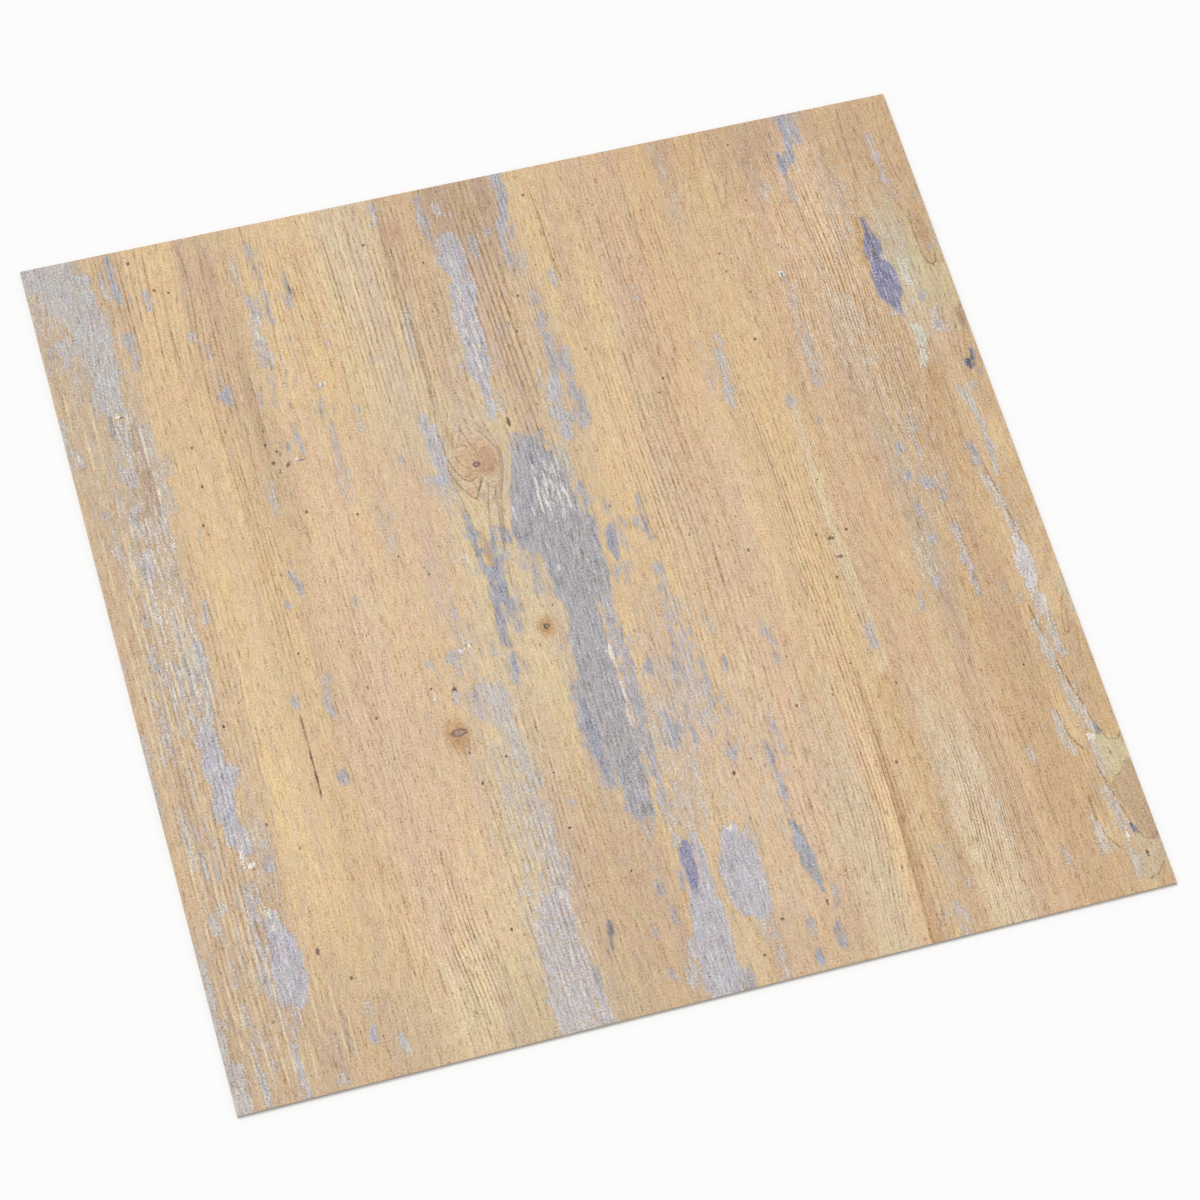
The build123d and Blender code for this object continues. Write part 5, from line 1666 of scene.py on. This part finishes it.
    def record_print(self, sheet: bpy.types.Object) -> None:
        """Writes the picture onto the mesh's points, where the material reads it.

        Args:
            sheet: the sheet's object.
        """
        x, y, _ = self.points(sheet).T
        paint = self.picture.paint(x, y)
        tint = paint.pop("tint")
        stroke, ink = self.picture.strokes(x, y)
        pale, glow = self.picture.pale_lines(x, y)
        numbers = {
            **paint,
            "drift": self.picture.drift(x, y),
            "stroke": stroke,
            "ink": ink,
            "pale": pale,
            "glow": glow,
            "rings": self.picture.rings(x, y),
            "speck": self.picture.specks(x, y),
        }
        for name, areas, most in (("lined", LINED, 1.4), ("painted_glint_zone", PAINTED_GLINTS, 1.0), ("motley", MOTLEY, 1.2)):
            numbers[name] = np.minimum(spread(areas, x, y).sum(0), most)
        for name, values in numbers.items():
            layer = sheet.data.attributes.new(name, "FLOAT", "POINT")
            layer.data.foreach_set("value", values.astype(np.float32))
        for name, values in (("wood", self.picture.wood(x, y)), ("tint", tint)):
            layer = sheet.data.attributes.new(name, "FLOAT_COLOR", "POINT")
            layer.data.foreach_set("color", values.astype(np.float32).ravel())

    def unwrap(self, sheet: bpy.types.Object) -> None:
        """Lays out the map: the upper face takes most of it, the edges and the underside a border.

        Args:
            sheet: the sheet's object.
        """
        mesh = sheet.data
        points = self.points(sheet)
        while mesh.uv_layers:
            mesh.uv_layers.remove(mesh.uv_layers[0])
        layer = mesh.uv_layers.new(name="OFBake")
        corners = np.zeros(len(mesh.loops), int)
        mesh.loops.foreach_get("vertex_index", corners)
        normals = np.zeros(len(mesh.polygons) * 3)
        mesh.polygons.foreach_get("normal", normals)
        counts = np.zeros(len(mesh.polygons), int)
        mesh.polygons.foreach_get("loop_total", counts)
        facing = np.repeat(normals.reshape(-1, 3), counts, axis=0)
        x, y, z = points[corners].T
        across, along, up = x / self.side + .5, y / self.side + .5, z / self.thickness
        border, top_share, under_start, under_share = .005, .93, .945, .05
        strip_start, strip_pitch, strip_share = .942, .014, .011
        map_u, map_v = across * top_share + border, along * top_share + border
        under = facing[:, 2] < -.9
        map_u[under] = under_start + across[under] * under_share
        flank = np.abs(facing[:, 2]) < .05
        strips = ((facing[:, 0] > .9, along, 0), (facing[:, 0] < -.9, along, 1),
                  (facing[:, 1] > .9, across, 2), (facing[:, 1] < -.9, across, 3))
        for side, run, row in strips:
            here = flank & side
            map_u[here] = run[here] * top_share + border
            map_v[here] = strip_start + row * strip_pitch + up[here] * strip_share
        layer.data.foreach_set("uv", np.column_stack([map_u, map_v]).astype(np.float32).ravel())

    def dress(self, sheet: bpy.types.Object) -> None:
        """Gives the print to the upper face and lip, and bare vinyl to the rest.

        Args:
            sheet: the sheet's object.
        """
        sheet.data.materials.clear()
        sheet.data.materials.append(self.film.material())
        sheet.data.materials.append(self.vinyl.material())
        for polygon in sheet.data.polygons:
            polygon.material_index = 0 if polygon.normal.z > .2 else 1
        bpy.ops.object.select_all(action="DESELECT")
        sheet.select_set(True)
        bpy.context.view_layer.objects.active = sheet
        bpy.ops.object.shade_smooth_by_angle(angle=math.radians(35))


@dataclass
class Studio:
    """The pale floor, the soft light and the camera."""
    target: tuple[float, float, float] = (0.00252, -0.01161, 0.0)
    azimuth: float = -24.208
    elevation: float = 63.646
    roll: float = 9.086
    distance: float = 1.2655
    lens: float = 116.97
    floor_drop: float = 0.00003
    sky: float = 0.62
    key: float = 0.38
    key_softness: float = 28.0
    key_side: tuple[float, float, float] = (-0.42, 0.5, 1.0)

    def floor(self) -> bpy.types.Object:
        """Lays the pale floor just under the plank.

        Returns:
            The floor's object.
        """
        bpy.ops.object.select_all(action="DESELECT")
        bpy.ops.mesh.primitive_plane_add(size=40, location=(0, 0, -self.floor_drop))
        floor = bpy.context.active_object
        floor.name = "floor"
        kit = Shader(bpy.data.materials.new("pale floor"))
        x, y, _ = kit.place()
        tone = kit.blend(kit.noise(x, y, 300, 300, 3.3, 1), linear(252, 252, 252), linear(253, 253, 253))
        inputs = {"Base Color": tone, "Roughness": .9, "Specular IOR Level": 0.0}
        floor.data.materials.append(kit.finish(inputs))
        return floor

    def light(self) -> None:
        """Hangs an even sky and one soft key light, which together show a colour as it is written."""
        world = bpy.data.worlds.new("studio")
        bpy.context.scene.world = world
        kit = Shader(world)
        even = kit.node("ShaderNodeBackground", None, {"Color": (1, 1, 1, 1), "Strength": self.sky})
        white = kit.node("ShaderNodeBackground", None, {"Color": (1, 1, 1, 1), "Strength": 1.0})
        rays = kit.node("ShaderNodeLightPath").outputs
        seen, mirrored, passed = (Wire(kit, rays[name])
                                  for name in ("Is Camera Ray", "Is Glossy Ray", "Is Transmission Ray"))
        share = seen.largest(mirrored).largest(passed)
        mix = kit.node("ShaderNodeMixShader", None, {0: share, 1: even.outputs[0], 2: white.outputs[0]})
        kit.node("ShaderNodeOutputWorld", None, {"Surface": mix.outputs[0]})
        lamp = bpy.data.lights.new("key", "SUN")
        lamp.angle = math.radians(self.key_softness)
        direction = Vector(self.key_side).normalized()
        lamp.energy = self.key * math.pi / direction.z
        key = bpy.data.objects.new("key", lamp)
        key.rotation_euler = direction.to_track_quat("Z", "Y").to_euler()
        bpy.context.scene.collection.objects.link(key)

    def camera(self) -> None:
        """Sets the camera where the photograph was taken from."""
        turn, tilt, roll = (math.radians(angle) for angle in (self.azimuth, self.elevation, self.roll))
        back = Vector((math.sin(turn) * math.cos(tilt), -math.cos(turn) * math.cos(tilt), math.sin(tilt)))
        level = Vector((0, 0, 1)).cross(back).normalized()
        upright = back.cross(level)
        right = level * math.cos(roll) + upright * math.sin(roll)
        upward = upright * math.cos(roll) - level * math.sin(roll)
        data = bpy.data.cameras.new("view")
        data.lens = self.lens
        data.sensor_width = 36
        camera = bpy.data.objects.new("view", data)
        facing = Matrix((right, upward, back)).transposed().to_4x4()
        camera.matrix_world = Matrix.Translation(Vector(self.target) + back * self.distance) @ facing
        bpy.context.scene.collection.objects.link(camera)
        bpy.context.scene.camera = camera


def main() -> None:
    """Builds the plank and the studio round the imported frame."""
    logging.basicConfig(level=logging.INFO, format="%(message)s")
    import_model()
    studio = Studio()
    studio.camera()
    studio.light()
    studio.floor()
    sheet = Plank().build()
    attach(sheet, "root")
    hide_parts("vinyl_plank")
    sheet.data.calc_loop_triangles()
    LOG.info("%s: %d triangles", sheet.name, len(sheet.data.loop_triangles))
    bpy.context.scene.view_settings.view_transform = "Standard"


if __name__ == "__main__":
    main()
